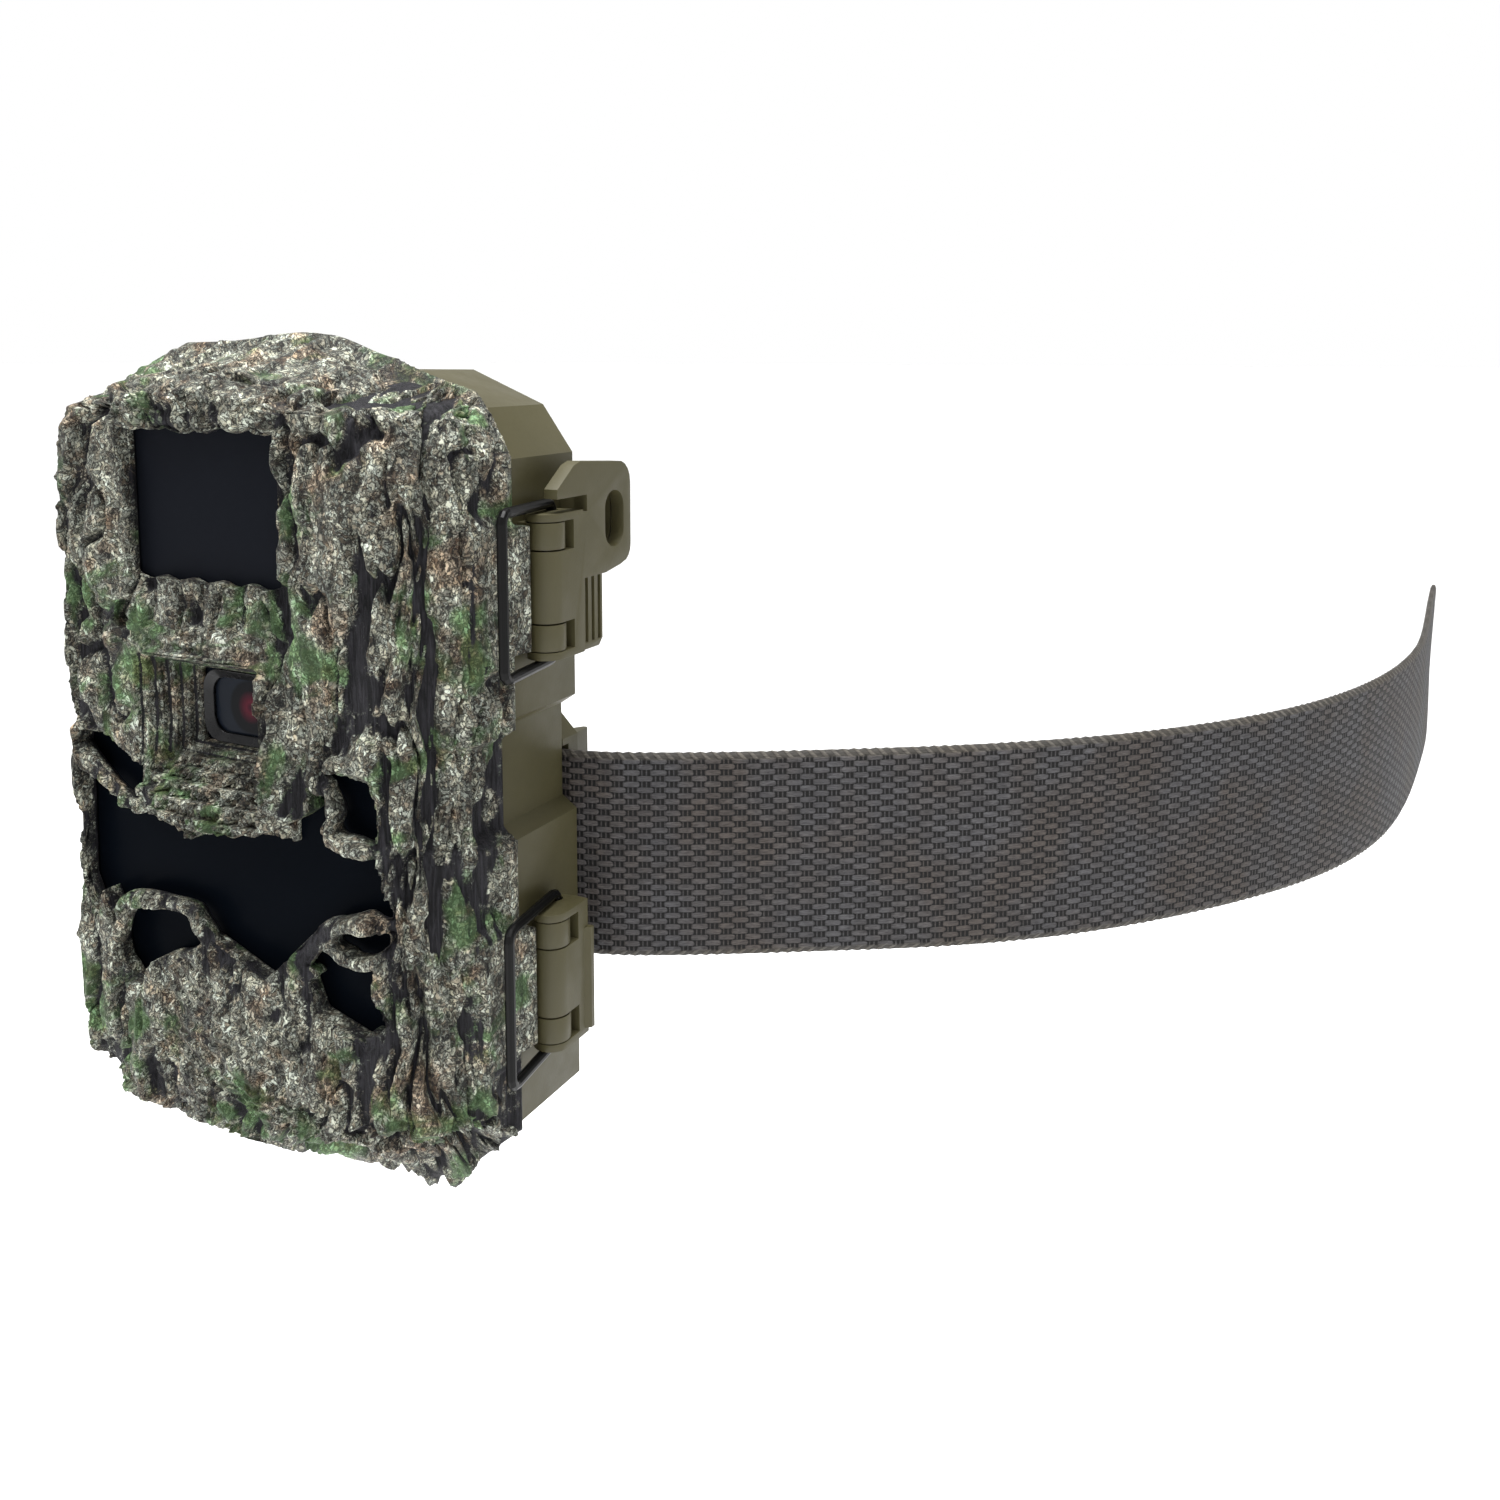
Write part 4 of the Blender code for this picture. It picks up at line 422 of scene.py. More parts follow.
def webbing():
    """Polypropylene webbing: short floats in staggered rows, drifting from cool grey to brown, with painted
    shade in the hollows between the floats.

    The mesh attribute "weave" holds (along, across, face) in millimetres.
    """
    g = Graph("webbing", Specular_IOR_Level=0.15)
    spot = g("ShaderNodeAttribute", {"attribute_name": "weave"}).outputs["Vector"]
    stray = g("ShaderNodeTexNoise", Vector=spot, Scale=0.35, Detail=2.0)
    split = g("ShaderNodeSeparateXYZ", Vector=spot)
    wander = g.math("MULTIPLY", g.math("SUBTRACT", stray.outputs["Fac"], 0.5), 0.9)
    row = g.math("DIVIDE", split.outputs["Y"], WEAVE_ROW)
    odd = g.math("FRACT", g.math("MULTIPLY", g.math("FLOOR", row, 0.0), 0.5), 0.0)
    repeat = g.math("DIVIDE", g.math("ADD", split.outputs["X"], wander), WEAVE_REPEAT)
    along = g.math("SUBTRACT", g.math("FRACT", g.math("ADD", repeat, odd), 0.0), 0.5)
    across = g.math("SUBTRACT", g.math("FRACT", row, 0.0), 0.5)
    long = g.math("POWER", g.math("ABSOLUTE", g.math("MULTIPLY", along, 3.0), 0.0), 3.6)
    wide = g.math("POWER", g.math("ABSOLUTE", g.math("MULTIPLY", across, 1.85), 0.0), 3.4)
    float_up = g.steps(g.math("ADD", long, wide), [(0.25, 1.0), (1.0, 0.0)], "EASE")
    stubs = g.math("SINE", g.math("MULTIPLY", split.outputs["X"], 7.69), 0.0)
    narrow = g.steps(wide, [(0.0, 1.0), (0.9, 0.3)])
    stub = g.math("MULTIPLY", g.steps(stubs, [(-0.2, 0.0), (0.9, 0.62)]), narrow)
    rim = g.math("ABSOLUTE", split.outputs["Y"], 0.0)
    selvage = g.steps(g.math("DIVIDE", rim, 20.0), [(0.885, 0.0), (0.905, 1.0)])
    braid = g.math("SINE", g.math("MULTIPLY", g.math("ADD", split.outputs["X"], rim), 2.92), 0.0)
    height = g.mix(selvage, g.math("MAXIMUM", float_up, stub), g.steps(braid, [(0.0, 0.35), (0.9, 1.0)]))

    drift = g.noise(spot, 0.05, 3.0, 0.6)
    cool, warm = (0.105, 0.103, 0.108), (0.104, 0.089, 0.080)
    yarn = g.mix(g.steps(drift, [(0.42, 0.0), (0.6, 1.0)]), cool, warm)
    single = g("ShaderNodeTexVoronoi", Vector=g.scaled((0.4, 0.93, 1.0), spot), Scale=1.0)
    pale = g("ShaderNodeSeparateColor", Color=single.outputs["Color"]).outputs["Red"]
    yarn = g.mix(g.steps(pale, [(0.0, 0.0), (1.0, 0.45)]), yarn, (0.035, 0.033, 0.034))
    yarn = g.mix(g.math("MULTIPLY", selvage, 0.5), yarn, (0.15, 0.135, 0.105))
    # painted shade: near black where the weave's height is low, in the hollows between floats and stubs
    base = g.mix(g.steps(height, [(0.05, 0.0), (0.75, 1.0)]), (0.008, 0.008, 0.008), yarn)
    hairs = g.noise(g.scaled((0.7, 5.0, 1.0), spot), 1.0, 3.0, 0.7)
    base = g.mix(g.steps(hairs, [(0.35, 0.65), (0.6, 0.0)]), base, (0.015, 0.014, 0.014))
    relief = g.bump(height, 0.9, 0.32)
    return g.finish(Base_Color=base, Roughness=0.6, Normal=g.bump(hairs, 0.35, 0.08, relief))


def satin_window(name, colour, roughness, haze, gloss):
    """Smooth black acrylic or lacquer, with a faint orange-peel and a little dust."""
    g = Graph(name, Specular_IOR_Level=gloss)
    mm = g.scaled((1000.0, 1000.0, 1000.0))
    peel = g.noise(mm, 0.12, 2.0)
    dust = g.steps(g.noise(mm, 1.6, 5.0, 0.8), [(0.72, 0.0), (0.76, 1.0)])
    base = g.mix(g.math("MULTIPLY", dust, 0.10), colour, haze)
    rough = g.steps(peel, [(0.3, roughness - 0.03), (0.7, roughness + 0.05)])
    return g.finish(Base_Color=base, Roughness=rough, Normal=g.bump(peel, 0.12, 0.1))


def lens_pane():
    """Opaque dark coated window with the lens's red reflection and its black barrel painted on, in rings
    round the lens's centre.
    """
    g = Graph("lens_pane", Roughness=0.12, Specular_IOR_Level=0.06)
    centred = g("ShaderNodeMapping", Vector=g.scaled((1000.0, 0.0, 1000.0)), Location=(0.0, 0.0, -LENS_Z))
    away = g("ShaderNodeVectorMath", {"operation": "LENGTH"})
    g.wire_index(away, 0, centred.outputs["Vector"])
    radius = g.math("DIVIDE", away.outputs["Value"], 10.0)
    # painted reflection: plum at the centre and a red ring round it for the lens's coating, near black out
    # to 4.4 mm for the barrel behind, then the window's own slate
    red, plum, slate = (0.10, 0.012, 0.024), (0.035, 0.008, 0.018), (0.011, 0.0145, 0.022)
    rings = [(0.0, plum), (0.1, red), (0.2, (0.05, 0.008, 0.016)), (0.3, (0.006, 0.006, 0.008))]
    return g.finish(Base_Color=g.steps(radius, [*rings, (0.44, (0.005, 0.006, 0.008)), (0.5, slate)]))


def optics_glass():
    """Lens element whose colour is a painted red-purple reflection of its coating: dark face-on, strongest
    where the surface turns away from the view, which is towards its rim.
    """
    g = Graph("optics_glass", Roughness=0.08, Coat_Weight=1.0, Coat_Roughness=0.02, Specular_IOR_Level=0.9)
    facing = g("ShaderNodeLayerWeight", Blend=0.55).outputs["Facing"]
    # painted reflection: the colour follows the view angle, from near black face-on to red and purple at
    # grazing angles
    tone = [(0.0, (0.012, 0.006, 0.016)), (0.35, (0.07, 0.012, 0.03)), (0.7, (0.42, 0.035, 0.06))]
    return g.finish(Base_Color=g.steps(facing, tone + [(1.0, (0.16, 0.03, 0.12))]))


def circuit_board():
    """Green solder mask with tracks and pads."""
    g = Graph("circuit_board", Coat_Weight=0.4, Coat_Roughness=0.15)
    mm = g.scaled((1000.0, 1000.0, 1000.0))
    blocks = g("ShaderNodeTexBrick", Scale=0.45)
    g.wire(blocks, {"Color1": (0.010, 0.075, 0.032), "Color2": (0.013, 0.10, 0.04)})
    g.wire(blocks, {"Mortar": (0.02, 0.15, 0.055), "Mortar_Size": 0.035})
    swap = g("ShaderNodeVectorRotate", {"rotation_type": "X_AXIS"}, Vector=mm, Angle=math.pi / 2)
    g.wire(blocks, {"Vector": swap.outputs["Vector"]})
    dots = g("ShaderNodeTexVoronoi", Vector=mm, Scale=0.33)
    pads = g.steps(dots.outputs["Distance"], [(0.11, 1.0), (0.13, 0.0)])
    base = g.mix(pads, blocks.outputs["Color"], (0.62, 0.55, 0.36))
    return g.finish(Base_Color=base, Metallic=g.math("MULTIPLY", pads, 0.8), Roughness=0.35)


def cell_jacket():
    """Battery sleeve: two plain bands with bare metal at the ends."""
    g = Graph("cell_jacket", Coat_Weight=0.5, Coat_Roughness=0.12)
    inside = g("ShaderNodeTexCoord").outputs["Generated"]
    band = g("ShaderNodeSeparateXYZ", Vector=inside).outputs["Z"]
    steel, dark, light = (0.62, 0.62, 0.6), (0.02, 0.021, 0.024), (0.30, 0.22, 0.075)
    stops = [(0.0, steel), (0.03, dark), (0.66, light), (0.955, steel)]
    ends = [(0.0, 1.0), (0.03, 0.0), (0.955, 1.0)]
    rough = g.steps(g.noise(g.scaled((900.0, 900.0, 900.0)), 0.5, 3.0), [(0.3, 0.22), (0.7, 0.34)])
    metallic = g.steps(band, ends, "CONSTANT")
    return g.finish(Base_Color=g.steps(band, stops, "CONSTANT"), Metallic=metallic, Roughness=rough)


def screen_glass():
    """Dark liquid-crystal screen with its faint pixel grid."""
    g = Graph("screen_glass", Coat_Weight=0.8, Coat_Roughness=0.03, Roughness=0.2)
    grid = g("ShaderNodeTexBrick", {"offset": 0.0}, Scale=2.4)
    g.wire(grid, {"Color1": (0.018, 0.026, 0.034), "Color2": (0.02, 0.03, 0.036)})
    g.wire(grid, {"Mortar": (0.006, 0.008, 0.01), "Mortar_Size": 0.06, "Row_Height": 0.25})
    mm = g.scaled((1000.0, 1000.0, 1000.0))
    swap = g("ShaderNodeVectorRotate", {"rotation_type": "X_AXIS"}, Vector=mm, Angle=math.pi / 2)
    g.wire(grid, {"Vector": swap.outputs["Vector"]})
    return g.finish(Base_Color=grid.outputs["Color"])


OLIVE = (0.061, 0.0545, 0.025)
MATERIALS = {
    "olive": moulded("olive_plastic", OLIVE, 0.46, 2.4, 0.035, 0.05),
    "bark": bark_camo(),
    "webbing": webbing(),
    "ir": satin_window("ir_window_acrylic", (0.0065, 0.0075, 0.0105), 0.4, (0.02, 0.02, 0.024), 0.02),
    "panel": satin_window("pir_window_acrylic", (0.002, 0.003, 0.005), 0.3, (0.01, 0.012, 0.014), 0.008),
    "pane": lens_pane(),
    "optics": optics_glass(),
    "wire": satin_window("bail_wire", (0.003, 0.003, 0.003), 0.3, (0.02, 0.018, 0.016), 0.15),
    "steel": metal("plain_steel", (0.56, 0.56, 0.57), 0.3),
    "black_steel": moulded("black_powder_coat", (0.02, 0.02, 0.021), 0.45, 3.0, 0.06),
    "rubber": moulded("seal_rubber", (0.016, 0.016, 0.017), 0.72, 1.5, 0.05),
    "inner": moulded("inner_plastic", (0.026, 0.027, 0.028), 0.48, 2.0, 0.05),
    "bezel": moulded("bezel_plastic", (0.006, 0.006, 0.007), 0.25, 3.0, 0.02),
    "key": moulded("key_plastic", (0.21, 0.21, 0.21), 0.5, 2.0, 0.04),
    "board": circuit_board(),
    "brass": metal("brass", (0.66, 0.47, 0.19), 0.28),
    "cell": cell_jacket(),
    "screen": screen_glass(),
    "card": moulded("card_plastic", (0.016, 0.03, 0.085), 0.4, 2.0, 0.04),
}


def paint(obj, key):
    obj.data.materials.clear()
    obj.data.materials.append(MATERIALS[key])
    return obj


# ---------------------------------------------------------------- bark cover


# Soft swellings of the face: centre (x, z), reach (x, z) and height
MASSES = (
    ((2.0, WINDOW_Z - 29.0), (21.0, 12.0), 3.2),  # lower bulge
    ((0.0, LENS_Z - 14.0), (17.0, 6.5), 2.6),  # hood under the lens
    ((-1.0, LENS_Z + 13.0), (19.0, 4.0), 1.8),  # eave over it
    ((0.0, IR_HIGH.z + 5.0), (24.0, 5.0), 0.9),  # brow
    ((31.0, 60.0), (6.0, 26.0), 1.7),
    ((31.0, 2.0), (5.0, 34.0), 1.1),
    ((-24.0, 57.0), (4.5, 16.0), 1.5),
    ((22.5, 60.0), (2.8, 17.0), 1.4),
    ((-28.0, 44.0), (3.0, 9.0), -1.2),
)


def smooth_line(points, steps):
    """Catmull-Rom curve through points of any dimension, as an array."""
    spots = np.array(points, float)
    ends = np.vstack([2 * spots[0] - spots[1], spots, 2 * spots[-1] - spots[-2]])
    line = []
    for a, b, c, d in zip(ends, ends[1:], ends[2:], ends[3:]):
        for i in range(steps):
            t = i / steps
            bend = (2 * a - 5 * b + 4 * c - d) * t + (3 * b - a - 3 * c + d) * t * t
            line.append(0.5 * (2 * b + (c - a + bend) * t))
    return np.array(line + [spots[-1]])


def ragged(outline, seed, deep=0.55, reach=2.2):
    """A smooth closed (x, z) outline through the points, with small waves."""
    line = smooth_line([*outline, outline[0]], 5)[:-1]
    away = line - line.mean(axis=0)
    away /= np.linalg.norm(away, axis=1)[:, None]
    return [tuple(p) for p in line + away * noise(line / reach, seed)[:, None] * deep]


def window_gap():
    """One opening across the whole lower window, which the limbs then cross."""
    outline = [(-30.5, 12), (-30.5, 1), (-27.5, -7), (-25.5, -18), (-19, -21), (-16, -15.5)]
    outline += [(-9, -13), (-4, -10), (4, -8.5), (17, -10), (21, -11), (24, -17), (34.5, -17)]
    outline += [(34, -8), (36, -3), (36, 6), (34.5, 12), (35, 20), (33, 24), (26.5, 24.5)]
    outline += [(23, 18.5), (12, 12.5), (0, 10.5), (-6, 9), (-12.5, 12), (-17, 14), (-17.5, 19)]
    outline += [(-20, 21.5), (-28, 23.5)]
    return ragged([(x, z + WINDOW_Z) for x, z in outline], 31)


def upper_gap():
    """The upper window's opening with a wavy foot."""
    half_w, half_h = 16.7, 12.6
    foot = [(-16.7 + 3.34 * i, IR_Z - half_h - 0.8 * (i % 2)) for i in range(11)]
    foot = [tuple(p) for p in smooth_line(foot, 4)]
    return [*foot, (half_w, IR_Z + half_h), (-half_w, IR_Z + half_h)]


def lens_terraces():
    """Nested boxes that cut the terraces round the lens, wider towards the front."""
    shapes = []
    for step in range(TERRACES):
        left, right = 9.8 + 1.5 * step, 9.8 + 0.6 * step
        low, high = LENS_Z - 6.5 - (0.4 + 0.2 * step) * step, LENS_Z + 6.5 + 0.7 * step
        outline = [(-left, low), (right, low), (right, high), (-left, high)]
        shapes.append(prism(outline, AHEAD, LENS_LOW.y + 0.05 - TERRACE_DEPTH * step))
    return shapes


def lens_block():
    """Solid behind the face that the terraces are cut from."""
    low, high = LENS_Z - 19.5, LENS_Z + 12.5
    outline = [(-21, low), (15.5, low), (15.5, high), (-21, high)]
    return prism(outline, FACE_Y + 1.0, LENS_LOW.y - 0.3)


def limb_lines():
    """Thin limbs across the lower window, as (seed, radius, centre line)."""
    return (
        (1, 1.5, [(-33.5, 20.5), (-26.5, 15), (-21.5, 12), (-18, 12), (-13, 15)]),
        (2, 1.5, [(20, 24), (24.5, 21), (26, 17.5), (25, 14.5), (28, 13), (37, 12.5)]),
        (3, 1.35, [(-29, -19), (-25, -11), (-22, -6), (-9, -5), (-5.5, -7), (-2, -12)]),
        (4, 1.5, [(14.5, -12), (21, -5), (25.5, -1.5), (31.5, 0.5), (38, 0.5)]),
        (5, 1.3, [(21.5, -3), (27, -5.5), (32, -6), (38.5, -3)]),
    )


def limb(seed, radius, line, y=FACE_Y + 1.5):
    """A knobbly closed tube along an (x, z) line on the cover's face, as (points, faces)."""
    line = smooth_line([(x, z + WINDOW_Z) for x, z in line], 8)
    count, sides = len(line), 12
    along = np.gradient(line, axis=0)
    along /= np.linalg.norm(along, axis=1)[:, None]
    thick = radius * (1 + 0.25 * noise(np.arange(count)[:, None] / 3.1, seed))
    points, faces = [], []
    for (x, z), (ax, az), r in zip(line, along, thick):
        for k in range(sides):
            t = 2 * math.pi * k / sides
            c, s = r * math.cos(t), 1.3 * r * math.sin(t)
            points.append((x - az * c, y + s, z + ax * c))
    for i in range(count - 1):
        for k in range(sides):
            j = (k + 1) % sides
            faces.append((i * sides + k, i * sides + j, (i + 1) * sides + j, (i + 1) * sides + k))
    faces.append(tuple(range(sides)))
    faces.append(tuple(range((count - 1) * sides, count * sides)))
    return points, faces


def bark_solid():
    """Cover with its openings cut and the limbs joined, remeshed into one even grid."""
    base = tidy_copy("bark_base", "front_cover")
    tools = boolean(base, "UNION", [lens_block()])
    gap = prism(window_gap(), AHEAD, PANEL_LOW.y - 0.3)
    tools += boolean(base, "DIFFERENCE", [gap])
    tools += boolean(base, "DIFFERENCE", [prism(upper_gap(), AHEAD, IR_LOW.y - 0.2)])
    tools += boolean(base, "DIFFERENCE", lens_terraces())
    mesh = evaluated(base, "bark_joined")
    for tool in tools:
        bpy.data.objects.remove(tool)
    bm = bmesh.new()
    bm.from_mesh(mesh)
    lip = [(x, IR_HIGH.z + 0.4 - WINDOW_Z + 0.5 * math.sin(x)) for x in range(-19, 20, 2)]
    for spec in (*limb_lines(), (9, 2.1, lip, FACE_Y - 1.2)):
        tube = helper("limb", limb(*spec))
        bm.from_mesh(tube.data)
        bpy.data.objects.remove(tube)
    bm.to_mesh(mesh)
    bm.free()
    joined = new_object("bark_joined", mesh)
    voxels = joined.modifiers.new("voxels", "REMESH")
    voxels.mode = "VOXEL"
    voxels.voxel_size = VOXEL * MM
    return new_object("bark_cover", evaluated(joined, "bark_cover"))


def outward(points):
    """Smooth outward directions of the cover, like those of a rounded box."""
    halves = np.array([SIDE_X, COVER_DEPTH, HALF_H])
    q = (points - np.array([0.0, PART_Y, MID_Z])) / halves
    q[:, 1] = np.minimum(q[:, 1], 0.0)
    way = np.sign(q) * np.abs(q) ** 5 / halves * 30.0
    return way / (np.linalg.norm(way, axis=1)[:, None] + 1e-9)


def unwrap(points):
    """Bark coordinates: across the ridges, and along them over the sides and the top."""
    x, y, z = points.T
    behind = y - FACE_Y
    across = x + np.sign(x) * ramp(np.abs(x), 32.0, 44.0) * behind
    along = z + ramp(z, 74.0, 86.0) * behind - ramp(-z, 36.0, 48.0) * behind
    return across, along


def bark_relief(points):
    """(height in mm, plate from 0 to 1) of the bark at points on the cover."""
    across, along = unwrap(points)
    bend = 3.6 * noise(plane(across / 15.0, along / 30.0), 3)
    bend += 1.5 * noise(plane(across / 6.0, along / 9.0), 4)
    u = across + bend
    ridges = layered(plane(u / 3.3, along / 19.0), 21, 4)
    breaks = layered(plane(u / 6.0, along / 7.5), 33)
    lumps = layered(plane(u / 2.3, along / 2.9), 12)
    field = ridges + 0.4 * breaks
    crease = np.abs(layered(plane(u / 5.2, along / 21.0), 41, 3) + 0.2 * breaks)
    # plate falls to 0 in the grooves and along thin creases, where the bark material paints near-black
    # shade in place of the print
    plate = ramp(field, -0.9, -0.1) * ramp(crease, 0.02, 0.36)
    height = 2.7 * plate + 0.4 * np.clip(field, -0.8, 1.6) + 0.4 * lumps
    terraced = np.round(height / 0.6) * 0.6
    height += 0.4 * (terraced - height) - 1.85
    return height, np.clip(0.85 * plate + 0.1 + 0.16 * lumps, 0, 1)


def hood_relief(points):
    """The steps that fan out under the lens and across the bulge.

    Gives their height in mm, their share from 0 to 1, and 1 where the terraced lens walls are.
    """
    x, y, z = points.T
    below = LENS_Z - 5.0 - z
    radius = np.hypot(x, below)
    fan = ramp(below, 0.5, 2.5) * (1 - ramp(radius, 15.0, 19.0))
    turn = np.arctan2(x, np.maximum(below, 0.1)) / 0.15 + 0.3 * noise(plane(x / 4, z / 4), 61)
    steps = 1.5 * (turn % 1.0 - 0.5) + 0.4 * np.sign(np.sin(radius * 2.1 + 0.6 * np.floor(turn)))
    level = z - WINDOW_Z + 0.35 * x + 0.8 * noise(plane(x / 6, z / 6), 62)
    band = ramp(level, -40.0, -35.0) * (1 - ramp(level, -17.0, -13.0)) * (1 - ramp(np.abs(x - 2), 13, 18))
    waves = 0.75 * (level / 2.9 % 1.0 - 0.5)
    over = ramp(z, LENS_Z + 8.0, LENS_Z + 9.5) * (1 - ramp(z, LENS_Z + 15.0, LENS_Z + 17.0))
    over *= 1 - ramp(np.abs(x + 2.0), 14.0, 19.0)
    eaves = 0.4 * np.sign(np.sin((z + 0.12 * x) * 2 * math.pi / 2.6))
    around = np.maximum(np.abs(x + 3.5) / 16.5, np.abs(z - LENS_Z - 1.5) / 10.0)
    walls = 1 - ramp(around, 0.9, 1.12)
    share = np.maximum(np.maximum(fan, 0.6 * band), np.maximum(0.8 * over, walls))
    return (fan * steps + band * waves + over * eaves) * (1 - walls), share, walls


def still(points):
    """1 where the bark keeps clear of latches, hinges and the parting plane."""
    x, y, z = points.T
    kept = 1 - ramp(PART_Y - y, 0.3, 2.4)
    for middle in LATCH_ZS:
        room = 1 - ramp(np.abs(z - middle), 11.5, 14.0)
        kept = np.maximum(kept, room * ramp(x, 42.0, 44.5) * ramp(y, PART_Y - 12.0, PART_Y - 9.0))
    for middle in HINGE_ZS:
        room = 1 - ramp(np.abs(z - middle), 11.5, 14.0)
        kept = np.maximum(kept, room * ramp(-x, 44.0, 46.5) * ramp(y, PART_Y - 7.0, PART_Y - 4.5))
    return kept


def on_catches(points):
    """1 on the flat catch strips, which are printed all over."""
    x, y, z = points.T
    near = np.min([np.abs(z - middle) for middle in LATCH_ZS], axis=0)
    return (1 - ramp(near, 10.6, 11.2)) * ramp(x, 46.4, 46.9)


def reshape(moved, points):
    """Rounds the cover's foot, top and front left corner, beyond the plain chamfers of the CAD.

    It shifts moved, given where the points stood before the relief.
    """
    x, y, z = points.T
    ahead = PART_Y - y
    # the foot rises towards the front, most of all on the latch side
    lift = 2.2 + (2.5 + 6.5 * ramp(x, 4.0, 27.0)) * ramp(ahead, 2.0, 10.0)
    moved[:, 2] += lift * ramp(-z, 30.0, 54.0)
    # the top falls towards the front, from a crest near the middle
    slope = 6.5 * np.clip((ahead - 1.0) / 21.0, 0, 1) + 1.5 * ramp(-x, 8.0, 24.0) * ramp(ahead, 2.0, 8.0)
    crest = 1.6 * np.exp(-(((x - 3.0) / 12.0) ** 2)) - 3.0 * ramp(x, 10.0, 26.0)
    moved[:, 2] += (crest - slope) * ramp(z, 79.0, 92.0)
    # the front left corner and the brow's left end lie further in
    pull = 2.1 * ramp(-z, -66.0, -44.0) * ramp(z, 3.0, 16.0) + 5.5 * ramp(-z, 8.0, 42.0)
    moved[:, 0] += pull * ramp(-x, 32.0, 41.0) * ramp(ahead, 3.0, 12.0)
    moved[:, 0] += 4.5 * ramp(-x, 9.0, 20.0) * ramp(z, 78.0, 81.0) * ramp(ahead, 20.0, 22.0)


def front_cover():
    """The bark cover: the remeshed solid pushed out into ridges, plates and steps."""
    cover = bark_solid()
    mesh = cover.data
    points, normal = coordinates(mesh), normals(mesh)
    way = outward(points)
    facing = ramp((normal * way).sum(axis=1), 0.1, 0.55)
    moves = facing * (1 - still(points))
    x, y, z = points.T
    front = ramp(-way[:, 1], 0.3, 0.9)
    masses = sum(
        h * np.exp(-(((x - cx) / rx) ** 2) - ((z - cz) / rz) ** 2) for (cx, cz), (rx, rz), h in MASSES
    )
    height, plate = bark_relief(points)
    carved, share, walls = hood_relief(points)
    share *= front
    inside = ramp(35 - np.abs(x), 0, 3) * ramp(z - WINDOW_Z, -22, -19) * (1 - ramp(z - WINDOW_Z, 22, 26))
    height = height * (1 - 0.9 * share) * (1 - 0.45 * inside * front) + carved * front
    height -= 1.9 * ramp(-x, 32, 40)
    height -= (0.9 * ramp(x, 36, 43) + 1.2 * ramp(z, 78, 86)) * (1 - front)
    height = np.maximum(height, -1.8)
    height += 1.4 * ramp(-z, 44, 52) * np.exp(-(((x - 29) / 2.8) ** 2)) * (1 - front)
    plate = np.maximum(plate, np.maximum(0.85 * share, 0.5 * ramp(z, 80.0, 88.0)))
    # On faces turned away from the outward direction, such as the walls of openings and steps, plate drops
    # to about 0.42, and to 0 near the parting plane and on faces turned inward: painted shade on these
    # walls
    edges = ramp((normal * way).sum(axis=1), -0.6, -0.1) * ramp(PART_Y - y, 8.0, 11.0)
    plate = facing * plate + (1 - facing) * edges * (0.42 + 0.2 * noise(points / 2.5, 71))
    # Round the lens, plate drops to 0.15 at the inner corner of each terrace step: a band of painted shade
    # where each wall meets the step behind it
    treads = (LENS_LOW.y - y) / TERRACE_DEPTH % 1.0
    plate += walls * front * ramp(LENS_LOW.y - y, 0.3, 1.0) * (0.15 + 0.75 * ramp(treads, 0.1, 0.5) - plate)
    put_attribute(mesh, "plate", np.maximum(plate, 0.75 * on_catches(points)))
    moved = points + way * (moves * (height + front * masses))[:, None]
    reshape(moved, points)
    put_coordinates(mesh, moved)
    mesh.polygons.foreach_set("use_smooth", [True] * len(mesh.polygons))
    return rides(paint(cover, "bark"), "front", "bark_camo", "front_cover")


def lens_bezel():
    """Black rounded frame round the lens window."""
    outer = rounded_outline(9.7, 6.4, 3.5)
    inner = rounded_outline(8.1, 4.9, 3.0)
    back, front, lip = LENS_LOW.y - 0.05, LENS_LOW.y - 1.5, LENS_LOW.y - 0.6
    rings = [(outer, back), (outer, front), (inner, lip), (inner, back)]
    points = [(x, y, z + LENS_Z) for outline, y in rings for x, z in outline]
    count = len(outer)
    faces = []
    for ring in range(4):
        for i in range(count):
            j = (i + 1) % count
            a, b = ring * count, (ring + 1) % 4 * count
            faces.append((a + i, a + j, b + j, b + i))
    obj = new_object("lens_bezel", mesh_from("lens_bezel", points, faces))
    turn_outward(obj)
    soften(obj, 0.2)
    return rides(paint(obj, "bezel"), "front", "inner_plastic")


def rounded_outline(half_w, half_h, corner, steps=6):
    outline = []
    for quarter, (sx, sz) in enumerate(((1, 1), (-1, 1), (-1, -1), (1, -1))):
        for i in range(steps + 1):
            t = math.pi / 2 * (quarter + i / steps)
            x = sx * (half_w - corner) + corner * math.cos(t)
            outline.append((x, sz * (half_h - corner) + corner * math.sin(t)))
    return outline


def turn_outward(obj):
    bm = bmesh.new()
    bm.from_mesh(obj.data)
    bmesh.ops.recalc_face_normals(bm, faces=bm.faces)
    bm.to_mesh(obj.data)
    bm.free()


def soften(obj, width, segments=3):
    """Rounds the edges with a bevel."""
    step = obj.modifiers.new("edges", "BEVEL")
    step.width = width * MM
    step.segments = segments
    step.limit_method = "ANGLE"
    step.angle_limit = math.radians(28)
    step.use_clamp_overlap = True
    step.harden_normals = True
    obj.data.polygons.foreach_set("use_smooth", [True] * len(obj.data.polygons))
    return step


# ---------------------------------------------------------------- moulded parts


